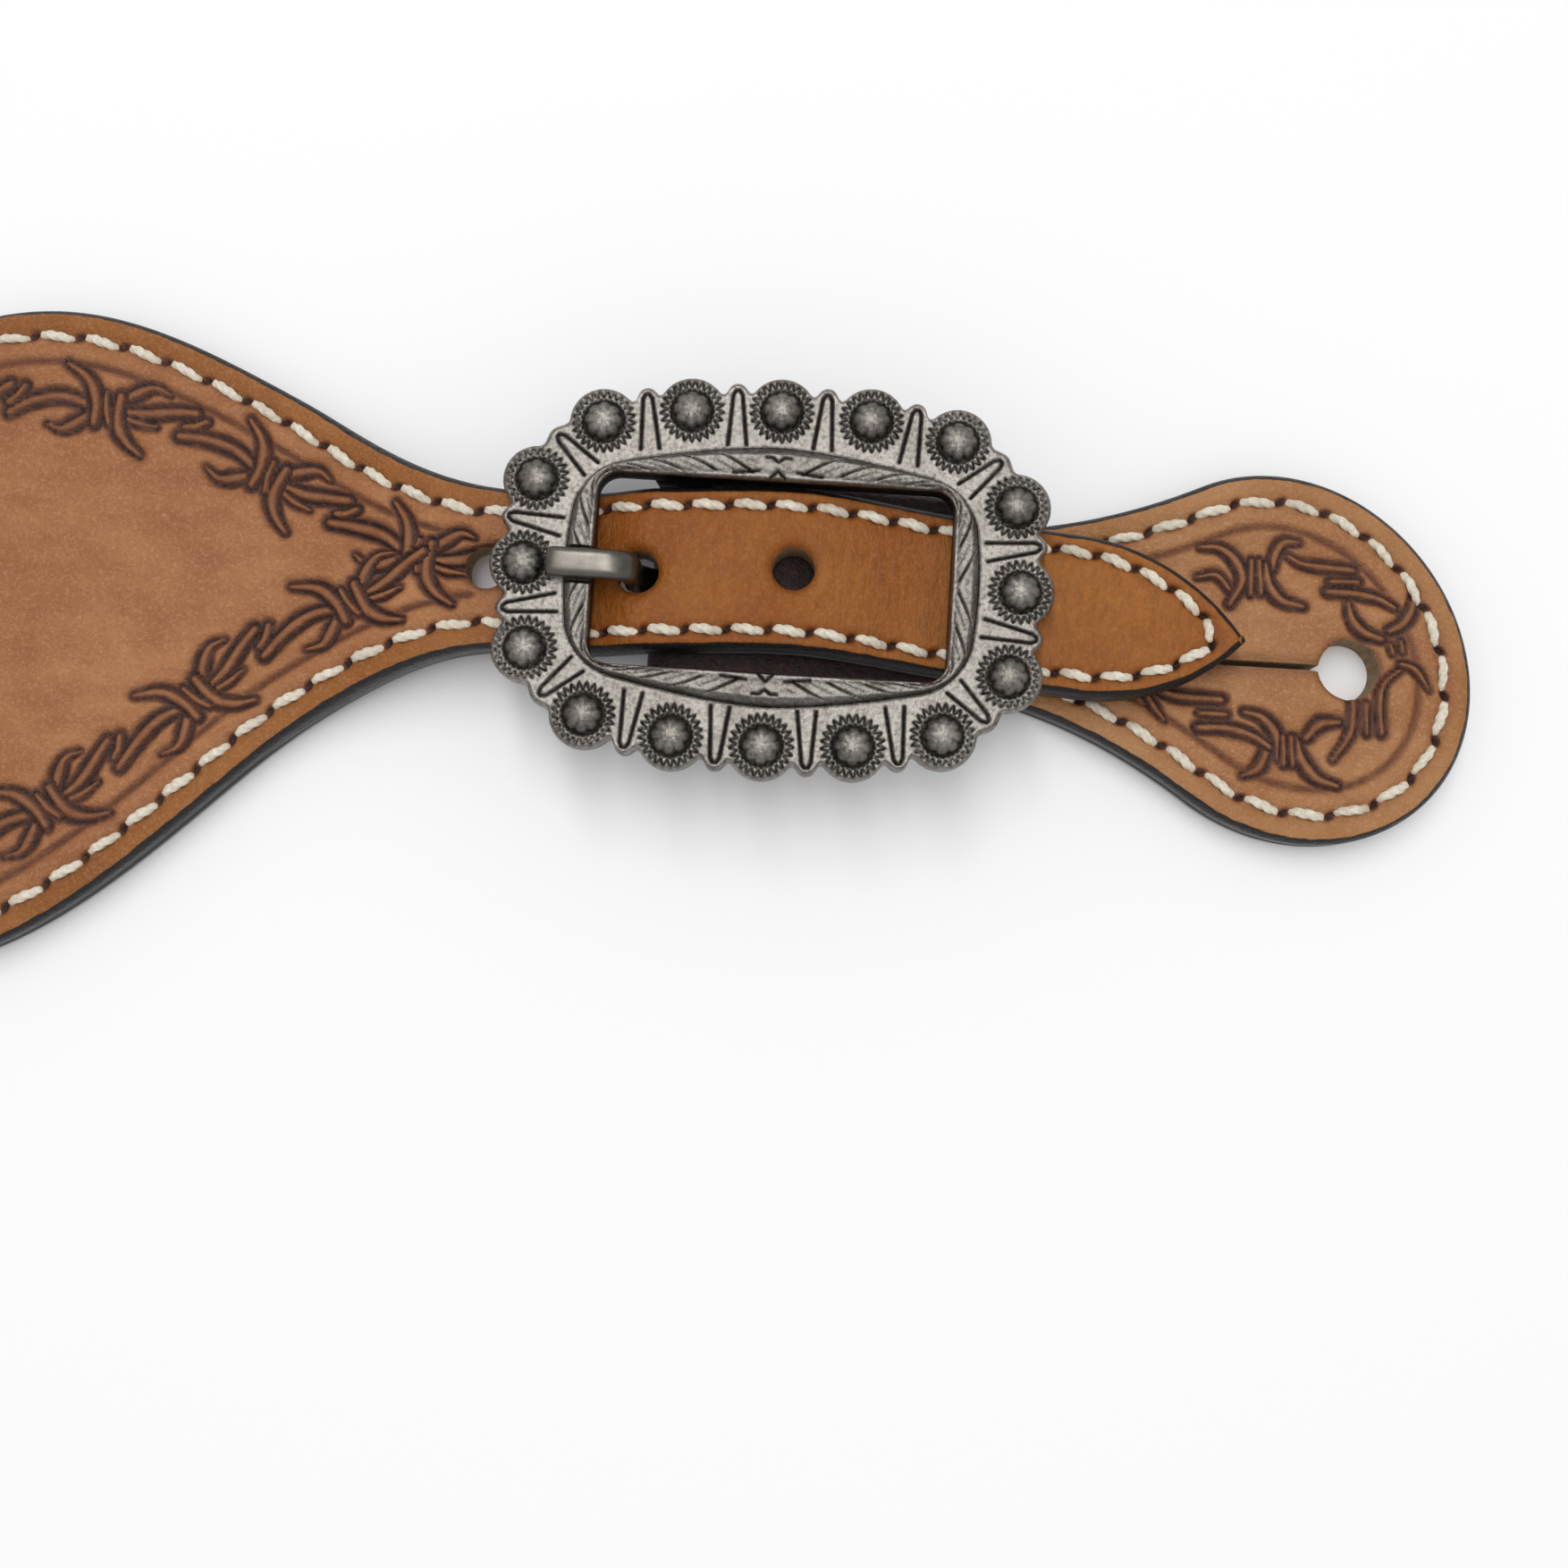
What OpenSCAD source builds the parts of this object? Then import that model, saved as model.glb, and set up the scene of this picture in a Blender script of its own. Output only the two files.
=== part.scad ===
// Western spur strap, fastened: a long lined leather strap runs through a cast
// buckle, which sits on the end of a short lined button tab.
// The origin is on the surface it lies on, under the middle of the buckle.
// +X runs along the buckle towards the button tab, and +Z is up.

/* [Leather] */
// Thickness of the tooled outer leather
outer_t = 2.4; // [1.8:0.1:2.6]
// Thickness of the lining leather
lining_t = 1.8; // [1.2:0.1:2]
// Half width of the plain billet that goes through the buckle
billet_half = 8.2; // [7:0.1:8.4]
// Extra half width of the wide body at its broadest place
wing_gain = 25.8; // [15:0.2:30]
// Length of the wide body from neck to neck
wing_len = 114; // [100:1:130]
// Radius of the round button lobes
lobe_r = 19; // [17:0.25:21]
// Radius of the button hole in each lobe
button_r = 3.1; // [2.5:0.05:3.5]
// Distance of the button hole's centre from the lobe's end
button_edge = 12.7; // [11:0.1:14]

/* [Stitching] */
// Distance of the stitch line from the leather's edge
stitch_inset = 2.9; // [2.5:0.1:3.5]
// How much closer to the edge the stitches run on the billet
billet_trim = 1; // [0.5:0.1:1.2]
// Width of the thread
thread_w = 1; // [0.6:0.1:1.2]
// How far the thread stands above the leather
thread_h = 0.25; // [0.15:0.05:0.3]

/* [Buckle] */
// Thickness of the cast plate
plate_t = 2.9; // [2.5:0.1:3.2]
// Half length of the window
window_x = 17.7; // [17:0.1:18]
// Half height of the window
window_y = 9.6; // [9.3:0.1:9.8]
// Radius of each scallop on the rim
scallop_r = 3.3; // [3.1:0.05:3.6]
// Radius of the domed stud in each scallop
stud_r = 1.9; // [1.5:0.05:2.1]
// Radius of the bar
bar_r = 1.5; // [1.3:0.05:1.5]
// Running clearance of the tongue and the leather fold round the bar
bar_play = 0.08; // [0.05:0.01:0.1]
// Width of the tongue
tongue_w = 3; // [2.6:0.1:3.2]

/* [Hidden] */
$fn = 64;

strap_t = outer_t + lining_t;
// Heights: the buckle's underside, and the strap's underside beside and over the bar
plate_z = 9.3;
side_rise = 4.7;
hump_rise = 7.1;
tip_rise = 4.5;
bar_x = -9.5;
bar_z = 4;
fold_t = 1.3;
fold_r = bar_r + bar_play + fold_t;
slot_half = 2;
hole_r = 2.15;
hole_pitch = 15.5;
tongue_hole_x = -13.4;

// Places along X: where the strap bends, and where the flexing parts meet
tip_x = 48;
tip_flex_x = 29;
wing_flex_x = -40;
lobe_flex_x = 48.8;
flex_gap = 0.1;
far_x = -220;
near_x = 90;

// The lobe's outline: neck half width, and where the neck and the round lobe begin
lobe_neck = 8.4;
lobe_start = 16;
lobe_join = 44;
lobe_mid = 53.5;
wing_start = -26;
far_lobe_start = -132;

function ease(u) = (1 - cos(180 * max(0, min(1, u)))) / 2;
function ramp(x, x0, x1) = ease((x - x0) / (x1 - x0));
function above(v, soft) = (v + sqrt(v * v + soft * soft)) / 2;

// Sideways bow of the strap's middle line
function bow(x) = x > 0 ? -0.0012 * x * x
                : -0.28 * above(-x - 49, 4) + 0.2 * above(-x - 105, 10);
// The long strap is also pushed sideways a little where it arches through the window
function strap_bow(x) = bow(x) + 1.25 * exp(-pow((x - 3) / 15, 2));

// Half widths along X of the wide body, of a button lobe and of the pointed tip
function wing_half(x) = billet_half + wing_gain * (1 - cos(360 * wing_u(x))) / 2;
function wing_u(x) = max(0, min(1, (wing_start - x) / wing_len));
lobe_k = (sqrt(pow(lobe_r, 2) - pow(lobe_mid - lobe_join, 2)) - lobe_neck)
       / pow(lobe_join - lobe_start, 2);
function lobe_half(t) = t < lobe_start ? lobe_neck
                      : t < lobe_join ? lobe_neck + lobe_k * pow(t - lobe_start, 2)
                      : sqrt(max(0, pow(lobe_r, 2) - pow(t - lobe_mid, 2)));
function far_t(x) = lobe_start + far_lobe_start - x;
tip_len = 17;
tip_arc = (pow(tip_len, 2) + pow(billet_half, 2)) / (2 * billet_half);
function tip_half(x) = billet_half - tip_arc + sqrt(pow(tip_arc, 2) - pow(x - tip_x + tip_len, 2));
function strap_half(x) = x > tip_x - tip_len ? tip_half(x)
                       : x > wing_start ? billet_half
                       : x > -112 ? wing_half(x)
                       : far_t(x) > lobe_join ? lobe_half(far_t(x))
                       : lobe_half(far_t(x)) + above(wing_half(x) - lobe_half(far_t(x)), 1.5);

// Underside of the strap, of the tab, and of what lies between its two layers
function strap_z(x) = x < -12 ? side_rise * ramp(x, -52, -27) + (hump_rise - side_rise) * ramp(x, -19, -12)
                    : hump_rise + (tip_rise - hump_rise) * ramp(x, 0, 18);

// Sample places: close together where the strap bends or rounds off
far_end = far_lobe_start - lobe_mid + lobe_start - lobe_r;
tab_end = lobe_mid + lobe_r;
function round_end(mid, r, way) = [for (a = [0:10:80]) mid + way * r * cos(a)];
strap_xs = concat(round_end(far_lobe_start - lobe_mid + lobe_start, lobe_r, -1),
                  [for (x = [-166:4:28]) x],
                  [for (u = [0:0.125:1]) 31 + 17 * u]);
tab_xs = concat([-16, 0, 8], [for (x = [16:4:48]) x], [for (a = [80:-10:0]) lobe_mid + lobe_r * cos(a)]);
bend_xs = concat([far_x], [for (x = [-52:2.5:-27]) x], [for (x = [-19:1:-12]) x],
                 [for (x = [0:2:18]) x], [near_x]);

function strap_point(x, inset, side) =
    [edge_x(x, seam_inset(x, inset)),
     strap_bow(x) + side * side_y(strap_half(x), seam_inset(x, inset))];

module strap_plan(inset = 0)
    polygon(concat([for (x = strap_xs) strap_point(x, inset, 1)],
                   [for (i = [len(strap_xs) - 1:-1:0]) strap_point(strap_xs[i], inset, -1)]));

module tab_plan(inset = 0)
    polygon(concat([for (x = tab_xs) [tab_edge_x(x, inset), bow(x) + side_y(lobe_half(x), inset)]],
                   [for (i = [len(tab_xs) - 1:-1:0])
                       [tab_edge_x(tab_xs[i], inset), bow(tab_xs[i]) - side_y(lobe_half(tab_xs[i]), inset)]]));

function side_y(half, inset) = max(0, half - inset * 1.12);
// The stitches run closer to the edge on the billet than on the wide body
function seam_inset(x, inset) = inset == 0 ? 0 : inset - billet_trim * ramp(x, -31, -21);
function shrink_end(x, mid, r, inset) = mid + (x - mid) * (r - inset) / r;
function edge_x(x, inset) = x > tip_x - tip_len
    ? tip_x - tip_len + (x - tip_x + tip_len) * (tip_len - inset * 1.4) / tip_len
    : far_t(x) > lobe_mid ? shrink_end(x, far_end + lobe_r, lobe_r, inset) : x;
function tab_edge_x(x, inset) = x > lobe_mid ? shrink_end(x, lobe_mid, lobe_r, inset) : x;

// A slab that follows the strap's bends, from depth lo to depth hi above its underside
module strap_slab(lo, hi)
    rotate([90, 0, 0])
        linear_extrude(height = 160, center = true)
            polygon(concat([for (x = bend_xs) [x, strap_z(x) + lo]],
                           [for (i = [len(bend_xs) - 1:-1:0]) [bend_xs[i], strap_z(bend_xs[i]) + hi]]));

module between(x0, x1)
    translate([x0, -80, -1])
        cube([x1 - x0, 160, 30]);

module drill(x, r)
    translate([x, x > 0 && r == hole_r ? strap_bow(x) : bow(x), -1])
        cylinder(h = 30, r = r);

// Button hole and the slit that lets the button through, on the side facing the strap
module keyhole(x, way) {
    drill(x, button_r);
    translate([way > 0 ? x : x - 13.5, bow(x) - 0.5, -1])
        cube([13.5, 1, 30]);
}

far_button_x = far_end + button_edge;
tab_button_x = tab_end - button_edge;

module strap_layer(lo, hi, x0, x1, inset = 0)
    difference() {
        intersection() {
            linear_extrude(height = 30)
                strap_plan(inset);
            strap_slab(lo, hi);
            between(x0, x1);
        }
        keyhole(far_button_x, 1);
        for (i = [-1:1])
            drill(tongue_hole_x + i * hole_pitch, hole_r);
    }

module strap_stitch(x0, x1)
    difference() {
        strap_layer(strap_t, strap_t + thread_h, x0, x1, stitch_inset - thread_w / 2);
        linear_extrude(height = 30)
            strap_plan(stitch_inset + thread_w / 2);
    }

module wing_outer()
    color("peru")
        strap_layer(lining_t, strap_t, far_x, wing_flex_x - flex_gap);

module wing_lining()
    color("tan")
        strap_layer(0, lining_t, far_x, wing_flex_x - flex_gap);

module wing_thread()
    color("linen")
        strap_stitch(far_x, wing_flex_x - flex_gap);

module billet_outer()
    color("peru")
        strap_layer(lining_t, strap_t, wing_flex_x, tip_flex_x);

module billet_lining()
    color("tan")
        strap_layer(0, lining_t, wing_flex_x, tip_flex_x);

module billet_thread()
    color("linen")
        strap_stitch(wing_flex_x, tip_flex_x);

module tip_outer()
    color("peru")
        strap_layer(lining_t, strap_t, tip_flex_x + flex_gap, near_x);

module tip_lining()
    color("tan")
        strap_layer(0, lining_t, tip_flex_x + flex_gap, near_x);

module tip_thread()
    color("linen")
        strap_stitch(tip_flex_x + flex_gap, near_x);

// The tab: its outer leather is thinned where it folds round the bar
fold_top = bar_z + fold_r;
tail_end = 6;

module tab_slab(lo, hi)
    translate([0, 0, lo])
        linear_extrude(height = hi - lo)
            tab_plan();

module tab_layer(lo, hi, x0, x1)
    difference() {
        intersection() {
            tab_slab(lo, hi);
            between(x0, x1);
        }
        keyhole(tab_button_x, -1);
    }

module fold_profile() {
    polygon([[bar_x, fold_top], [bar_x, fold_top - fold_t], [bar_x + 2, fold_top - fold_t],
             [12, lining_t], [18, lining_t], [18, strap_t], [12, strap_t], [bar_x + 4, fold_top]]);
    polygon([[bar_x, bar_z - fold_r], [bar_x, bar_z - fold_r + fold_t], [bar_x + 2, bar_z - fold_r + fold_t],
             [-1, fold_t], [tail_end, fold_t], [tail_end, 0], [-4, 0], [bar_x + 2, bar_z - fold_r]]);
}

module bar_fold()
    difference() {
        union() {
            intersection() {
                rotate([90, 0, 0])
                    linear_extrude(height = 60, center = true)
                        fold_profile();
                linear_extrude(height = 30)
                    tab_plan();
            }
            translate([bar_x, 0, bar_z])
                rotate([90, 0, 0])
                    cylinder(h = 2 * lobe_neck, r = fold_r, center = true);
        }
        translate([bar_x, 0, bar_z])
            rotate([90, 0, 0])
                cylinder(h = 60, r = bar_r + bar_play, center = true);
        translate([bar_x, -30, bar_z - bar_r - bar_play])
            cube([9, 60, 2 * (bar_r + bar_play)]);
        translate([bar_x - 5, -slot_half, -1])
            cube([11, 2 * slot_half, 30]);
    }

module tab_outer()
    color("peru")
        union() {
            bar_fold();
            tab_layer(lining_t, strap_t, 17.9, lobe_flex_x);
        }

module tab_lining()
    color("tan")
        tab_layer(0, lining_t - 0.02, tail_end + 0.5, lobe_flex_x);

module stitch_ring(x0, x1)
    difference() {
        intersection() {
            translate([0, 0, strap_t])
                linear_extrude(height = thread_h)
                    tab_plan(stitch_inset - thread_w / 2);
            between(x0, x1);
        }
        linear_extrude(height = 30)
            tab_plan(stitch_inset + thread_w / 2);
    }

module tab_thread()
    color("linen")
        stitch_ring(18.5, lobe_flex_x);

module lobe_outer()
    color("peru")
        tab_layer(lining_t, strap_t, lobe_flex_x + flex_gap, near_x);

module lobe_lining()
    color("tan")
        tab_layer(0, lining_t, lobe_flex_x + flex_gap, near_x);

module lobe_thread()
    color("linen")
        stitch_ring(lobe_flex_x + flex_gap, near_x);

// Scallops: their centres in one quarter of the buckle, mirrored to the others
quarter = [[0, 16.75], [8.95, 16.2], [17.6, 14.65], [23.8, 8.5], [24.6, 0]];
plate_core_x = 23.6;
plate_core_y = 15.6;
rim_w = 3;
rim_h = 0.8;
notch_half = 1.9;
lug_w = 2.4;

module each_scallop()
    for (p = quarter)
        for (sx = [-1, 1])
            for (sy = [-1, 1])
                translate([sx * p[0], sy * p[1], 0])
                    children();

module rounded(hx, hy, r)
    union() {
        square([2 * hx, 2 * (hy - r)], center = true);
        square([2 * (hx - r), 2 * hy], center = true);
        for (sx = [-1, 1])
            for (sy = [-1, 1])
                translate([sx * (hx - r), sy * (hy - r)])
                    circle(r = r);
    }

module plate_outline()
    union() {
        rounded(plate_core_x, plate_core_y, 9);
        each_scallop()
            circle(r = scallop_r);
    }

module bar_lug(side)
    translate([bar_x - lug_w, side > 0 ? window_y + 0.2 : -window_y - 0.2 - lug_w, bar_z - 2.6])
        cube([2 * lug_w, lug_w, plate_z - bar_z + 2.7]);

module buckle_frame()
    color("dimgray")
        difference() {
            union() {
                translate([0, 0, plate_z])
                    linear_extrude(height = plate_t)
                        plate_outline();
                translate([0, 0, plate_z + plate_t - 0.1])
                    linear_extrude(height = rim_h + 0.1)
                        rounded(window_x + rim_w - 0.3, window_y + rim_w, 5.5);
                for (p = quarter)
                    for (sx = [-1, 1])
                        for (sy = [-1, 1])
                            translate([sx * p[0], sy * p[1], plate_z + plate_t - 0.3])
                                intersection() {
                                    sphere(r = stud_r);
                                    cylinder(h = 5, r = 5);
                                }
                bar_lug(1);
                bar_lug(-1);
            }
            translate([0, 0, plate_z - 1])
                linear_extrude(height = 20)
                    rounded(window_x, window_y, 3);
            translate([-window_x - 6, -notch_half, plate_z + plate_t + 0.1])
                cube([8, 2 * notch_half, 5]);
            translate([bar_x, 0, bar_z])
                rotate([90, 0, 0])
                    cylinder(h = 60, r = bar_r, center = true);
        }

module buckle_bar()
    color("gray")
        translate([bar_x, 0, bar_z])
            rotate([90, 0, 0])
                cylinder(h = 2 * (window_y + 0.2 + lug_w), r = bar_r, center = true);

// The tongue: a loop on the bar, a bent shank up through the hole, and a flat tip
tongue_top = 14.5;
tongue_under = 12.5;
tongue_tip_x = -22.2;
loop_r = bar_r + bar_play + 1.2;

module tongue_profile()
    difference() {
        union() {
            translate([bar_x, bar_z])
                circle(r = loop_r);
            polygon([[bar_x - 1, bar_z + 2.2], [bar_x - loop_r, bar_z], [-13, 5.4], [-14.75, 7.2], [-14.75, tongue_under],
                     [tongue_tip_x, tongue_under], [tongue_tip_x, tongue_under + 0.9],
                     [tongue_tip_x + 1.6, tongue_top - 0.3], [-15, tongue_top],
                     [-13.8, tongue_top - 0.4], [-13.1, tongue_top - 1.6], [-13, 7.3], [-12.3, 6.4]]);
        }
        translate([bar_x, bar_z])
            circle(r = bar_r + bar_play);
    }

module buckle_tongue()
    color("silver")
        rotate([90, 0, 0])
            linear_extrude(height = tongue_w, center = true)
                tongue_profile();

buckle_frame();
buckle_bar();
buckle_tongue();
billet_outer();
billet_lining();
billet_thread();
tip_outer();
tip_lining();
tip_thread();
wing_outer();
wing_lining();
wing_thread();
tab_outer();
tab_lining();
tab_thread();
lobe_outer();
lobe_lining();
lobe_thread();
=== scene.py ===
import math

import bmesh
import bpy
import numpy as np
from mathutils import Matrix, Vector


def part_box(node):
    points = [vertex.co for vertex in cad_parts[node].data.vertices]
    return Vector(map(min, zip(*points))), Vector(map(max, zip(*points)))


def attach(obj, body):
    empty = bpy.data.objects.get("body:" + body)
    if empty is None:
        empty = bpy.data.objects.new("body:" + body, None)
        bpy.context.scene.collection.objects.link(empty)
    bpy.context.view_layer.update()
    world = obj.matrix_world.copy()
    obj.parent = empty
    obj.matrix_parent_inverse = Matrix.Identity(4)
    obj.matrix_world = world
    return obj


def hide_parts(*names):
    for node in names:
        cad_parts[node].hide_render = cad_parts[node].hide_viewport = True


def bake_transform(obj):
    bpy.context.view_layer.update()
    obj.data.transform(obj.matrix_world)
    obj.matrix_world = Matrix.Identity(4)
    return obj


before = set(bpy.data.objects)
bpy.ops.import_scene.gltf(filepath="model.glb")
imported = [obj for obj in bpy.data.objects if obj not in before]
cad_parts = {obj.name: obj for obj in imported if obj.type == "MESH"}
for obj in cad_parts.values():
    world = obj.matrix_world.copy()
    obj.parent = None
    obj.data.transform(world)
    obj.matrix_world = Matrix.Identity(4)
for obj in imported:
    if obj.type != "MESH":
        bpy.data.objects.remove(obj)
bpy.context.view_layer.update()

# Shapes are worked out in millimetres and scaled once, when a mesh is made.
MM = 0.001
rng = np.random.default_rng(7)

# ---------------------------------------------------------------- the strap's shape
OUTER_T, LINING_T = 2.4, 1.8
STRAP_T = OUTER_T + LINING_T
BILLET_HALF = 8.2
WING_GAIN, WING_LEN, WING_START = 25.8, 114.0, -26.0
LOBE_R, LOBE_NECK, LOBE_START, LOBE_JOIN, LOBE_MID = 19.0, 8.4, 16.0, 44.0, 53.5
FAR_LOBE_START = -132.0
FAR_MID = FAR_LOBE_START - LOBE_MID + LOBE_START
FAR_END = FAR_MID - LOBE_R
TAB_END = LOBE_MID + LOBE_R
TIP_X, TIP_LEN = 48.0, 17.0
TIP_ARC = (TIP_LEN ** 2 + BILLET_HALF ** 2) / (2 * BILLET_HALF)
SPLIT_X = -21.0
BUTTON_R, BUTTON_EDGE, SLIT_HALF = 3.1, 12.7, 0.32
TAB_BUTTON_X = TAB_END - BUTTON_EDGE
FAR_BUTTON_X = FAR_END + BUTTON_EDGE
HOLE_R, HOLE_X, HOLE_PITCH = 2.15, -13.4, 15.5

# Heights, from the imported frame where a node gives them
PLATE_Z = 9.3
PLATE_TOP = 12.2
BAR_X = 1000 * sum(c[0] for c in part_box("buckle_bar")) / 2
BAR_Z = 1000 * sum(c[2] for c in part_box("buckle_bar")) / 2
BAR_R = 1000 * (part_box("buckle_bar")[1][2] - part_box("buckle_bar")[0][2]) / 2
FOLD_T = 1.3
FOLD_R = BAR_R + 0.08 + FOLD_T

STITCH_INSET, BILLET_TRIM = 2.9, 1.0
BODY_PITCH, BILLET_PITCH = 4.75, 4.15
BORDER_INSET, WIRE_INSET, BARB_PITCH = 5.6, 10.0, 18.6


def ease(u):
    return (1 - np.cos(np.pi * np.clip(u, 0, 1))) / 2


def above(v, soft):
    return (v + np.sqrt(v * v + soft * soft)) / 2


def bow(x):
    """Sideways bow of the tab's middle line, and of the strap's away from the window."""
    left = -0.28 * above(-x - 49, 4) + 0.2 * above(-x - 105, 10)
    return np.where(x > 0, -0.0012 * x * x, left)


def strap_bow(x):
    """The strap is also pushed sideways a little where it arches through the window."""
    return bow(x) + 1.25 * np.exp(-((x - 3) / 15) ** 2)


def lobe_half(t):
    k = (math.sqrt(LOBE_R ** 2 - (LOBE_MID - LOBE_JOIN) ** 2) - LOBE_NECK) / (LOBE_JOIN - LOBE_START) ** 2
    neck = LOBE_NECK + k * np.clip(t - LOBE_START, 0, None) ** 2
    round_end = np.sqrt(np.clip(LOBE_R ** 2 - (t - LOBE_MID) ** 2, 0, None))
    return np.where(t < LOBE_JOIN, neck, round_end)


def strap_half(x):
    u = np.clip((WING_START - x) / WING_LEN, 0, 1)
    wing = BILLET_HALF + WING_GAIN * (1 - np.cos(2 * np.pi * u)) / 2
    t = LOBE_START + FAR_LOBE_START - x
    lobe = lobe_half(t)
    far = np.where(t > LOBE_JOIN, lobe, lobe + above(wing - lobe, 1.5))
    tip = BILLET_HALF - TIP_ARC + np.sqrt(np.clip(TIP_ARC ** 2 - (x - TIP_X + TIP_LEN) ** 2, 0, None))
    half = np.where(x > -112, wing, far)
    return np.where(x > TIP_X - TIP_LEN, np.clip(tip, 0, None), half)


def ramp(x, x0, x1):
    return ease((x - x0) / (x1 - x0))


def strap_z(x):
    """Underside of the long strap along its length."""
    left = 4.7 * ramp(x, -52, -27) + 2.4 * ramp(x, -19, -12)
    right = 7.1 - 2.6 * ramp(x, 0, 18)
    return np.where(x < -12, left, right)


# ---------------------------------------------------------------- small mesh helpers
def new_mesh(name, verts_mm, faces, smooth=True):
    mesh = bpy.data.meshes.new(name)
    mesh.from_pydata([tuple(v) for v in np.asarray(verts_mm) * MM], [], faces)
    mesh.update()
    obj = bpy.data.objects.new(name, mesh)
    bpy.context.scene.collection.objects.link(obj)
    if smooth:
        mesh.polygons.foreach_set("use_smooth", [True] * len(mesh.polygons))
    return obj


def add_attribute(obj, name, values):
    data = obj.data.attributes.new(name, "FLOAT", "POINT")
    data.data.foreach_set("value", np.asarray(values, dtype=np.float32))


def grid_faces(rows, cols, wrap_cols=False):
    """Quads of a rows x cols grid of points, numbered row by row."""
    c1 = cols if wrap_cols else cols - 1
    r, c = np.meshgrid(np.arange(rows - 1), np.arange(c1), indexing="ij")
    n = (c + 1) % cols
    quads = np.stack([r * cols + c, r * cols + n, (r + 1) * cols + n, (r + 1) * cols + c], axis=-1)
    return quads.reshape(-1, 4)


def merge_close(obj, distance=0.004):
    bm = bmesh.new()
    bm.from_mesh(obj.data)
    bmesh.ops.remove_doubles(bm, verts=bm.verts, dist=distance * MM)
    bmesh.ops.recalc_face_normals(bm, faces=bm.faces)
    bm.to_mesh(obj.data)
    bm.free()
    obj.data.update()


def join(objs, name):
    bpy.ops.object.select_all(action="DESELECT")
    for o in objs:
        o.select_set(True)
    bpy.context.view_layer.objects.active = objs[0]
    bpy.ops.object.join()
    objs[0].name = name
    objs[0].data.name = name
    return objs[0]


def cut(obj, cutters):
    """Take each cutter out of obj, and leave its walls in obj's second material."""
    for c in cutters:
        c.data.materials.clear()
        for m in obj.data.materials:
            c.data.materials.append(m)
        c.data.polygons.foreach_set("material_index", [1] * len(c.data.polygons))
        mod = obj.modifiers.new("cut", "BOOLEAN")
        mod.operation = "DIFFERENCE"
        mod.solver = "EXACT"
        mod.object = c
        bpy.context.view_layer.objects.active = obj
        bpy.ops.object.modifier_apply(modifier=mod.name)
        bpy.data.objects.remove(c, do_unlink=True)


def post(x, y, r, z0=-2.0, z1=20.0, sides=96):
    a = np.linspace(0, 2 * np.pi, sides, endpoint=False)
    ring = np.stack([x + r * np.cos(a), y + r * np.sin(a)], axis=1)
    verts = [(p[0], p[1], z) for z in (z0, z1) for p in ring]
    faces = [tuple(f) for f in grid_faces(2, sides, wrap_cols=True)]
    faces += [tuple(range(sides))[::-1], tuple(range(sides, 2 * sides))]
    return new_mesh("cutter", verts, faces, smooth=False)


def block(x0, x1, y0, y1, z0, z1):
    verts = [(x, y, z) for z in (z0, z1) for x, y in ((x0, y0), (x1, y0), (x1, y1), (x0, y1))]
    faces = [(3, 2, 1, 0), (4, 5, 6, 7), (0, 1, 5, 4), (1, 2, 6, 5), (2, 3, 7, 6), (3, 0, 4, 7)]
    return new_mesh("cutter", verts, faces, smooth=False)


# ---------------------------------------------------------------- curves on the leather
def smooth_line(points, step=0.35):
    """A Catmull-Rom curve through a few points, sampled about every step."""
    p = np.asarray(points, float)
    q = np.vstack([2 * p[0] - p[1], p, 2 * p[-1] - p[-2]])
    out = []
    for i in range(len(p) - 1):
        a, b, c, d = q[i:i + 4]
        n = max(2, int(np.linalg.norm(c - b) / step))
        t = np.linspace(0, 1, n, endpoint=False)[:, None]
        out.append(0.5 * (2 * b + (c - a) * t + (2 * a - 5 * b + 4 * c - d) * t ** 2
                          + (3 * b - a - 3 * c + d) * t ** 3))
    return np.vstack(out + [p[-1:]])


class Track:
    """A line on the leather, measured along its length."""

    def __init__(self, points):
        self.p = np.asarray(points, float)
        seg = np.linalg.norm(np.diff(self.p, axis=0), axis=1)
        self.s = np.concatenate([[0], np.cumsum(seg)])
        self.length = self.s[-1]

    def at(self, s):
        return np.stack([np.interp(s, self.s, self.p[:, k]) for k in (0, 1)], axis=-1)

    def normal(self, s):
        d = self.at(np.minimum(s + 1.2, self.length)) - self.at(np.maximum(s - 1.2, 0))
        d = d / np.maximum(np.linalg.norm(d, axis=-1, keepdims=True), 1e-9)
        return np.stack([-d[..., 1], d[..., 0]], axis=-1)

    def place(self, local):
        """Points given as (along, across) become points on the leather."""
        local = np.asarray(local, float)
        return self.at(local[:, 0]) + self.normal(local[:, 0]) * local[:, 1:2]


def inset_line(xs, half, mid, sign, inset):
    """One side of an outline, moved inwards square to itself."""
    p = np.stack([xs, mid(xs) + sign * half(xs)], axis=1)
    d = np.gradient(p, axis=0)
    d /= np.maximum(np.linalg.norm(d, axis=1, keepdims=True), 1e-9)
    n = np.stack([-d[:, 1], d[:, 0]], axis=1) * -sign
    return p + n * (inset(xs)[:, None] if callable(inset) else inset)


def closed_inset(xs, half, mid, inset, clip):
    """The loop of an outline moved inwards, from the top side's start round to the bottom side's."""
    up = inset_line(xs, half, mid, 1, inset)
    down = inset_line(xs, half, mid, -1, inset)
    up = up[(up[:, 1] > mid(up[:, 0])) & clip(up[:, 0])]
    down = down[(down[:, 1] < mid(down[:, 0])) & clip(down[:, 0])]
    return up, down


def seam_inset(x):
    """The stitches run closer to the edge on the billet than on the wide body."""
    return STITCH_INSET - BILLET_TRIM * ramp(x, -31, -21)


def seam_pitch(x):
    return BODY_PITCH + (BILLET_PITCH - BODY_PITCH) * ramp(x, -31, -21)


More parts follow.
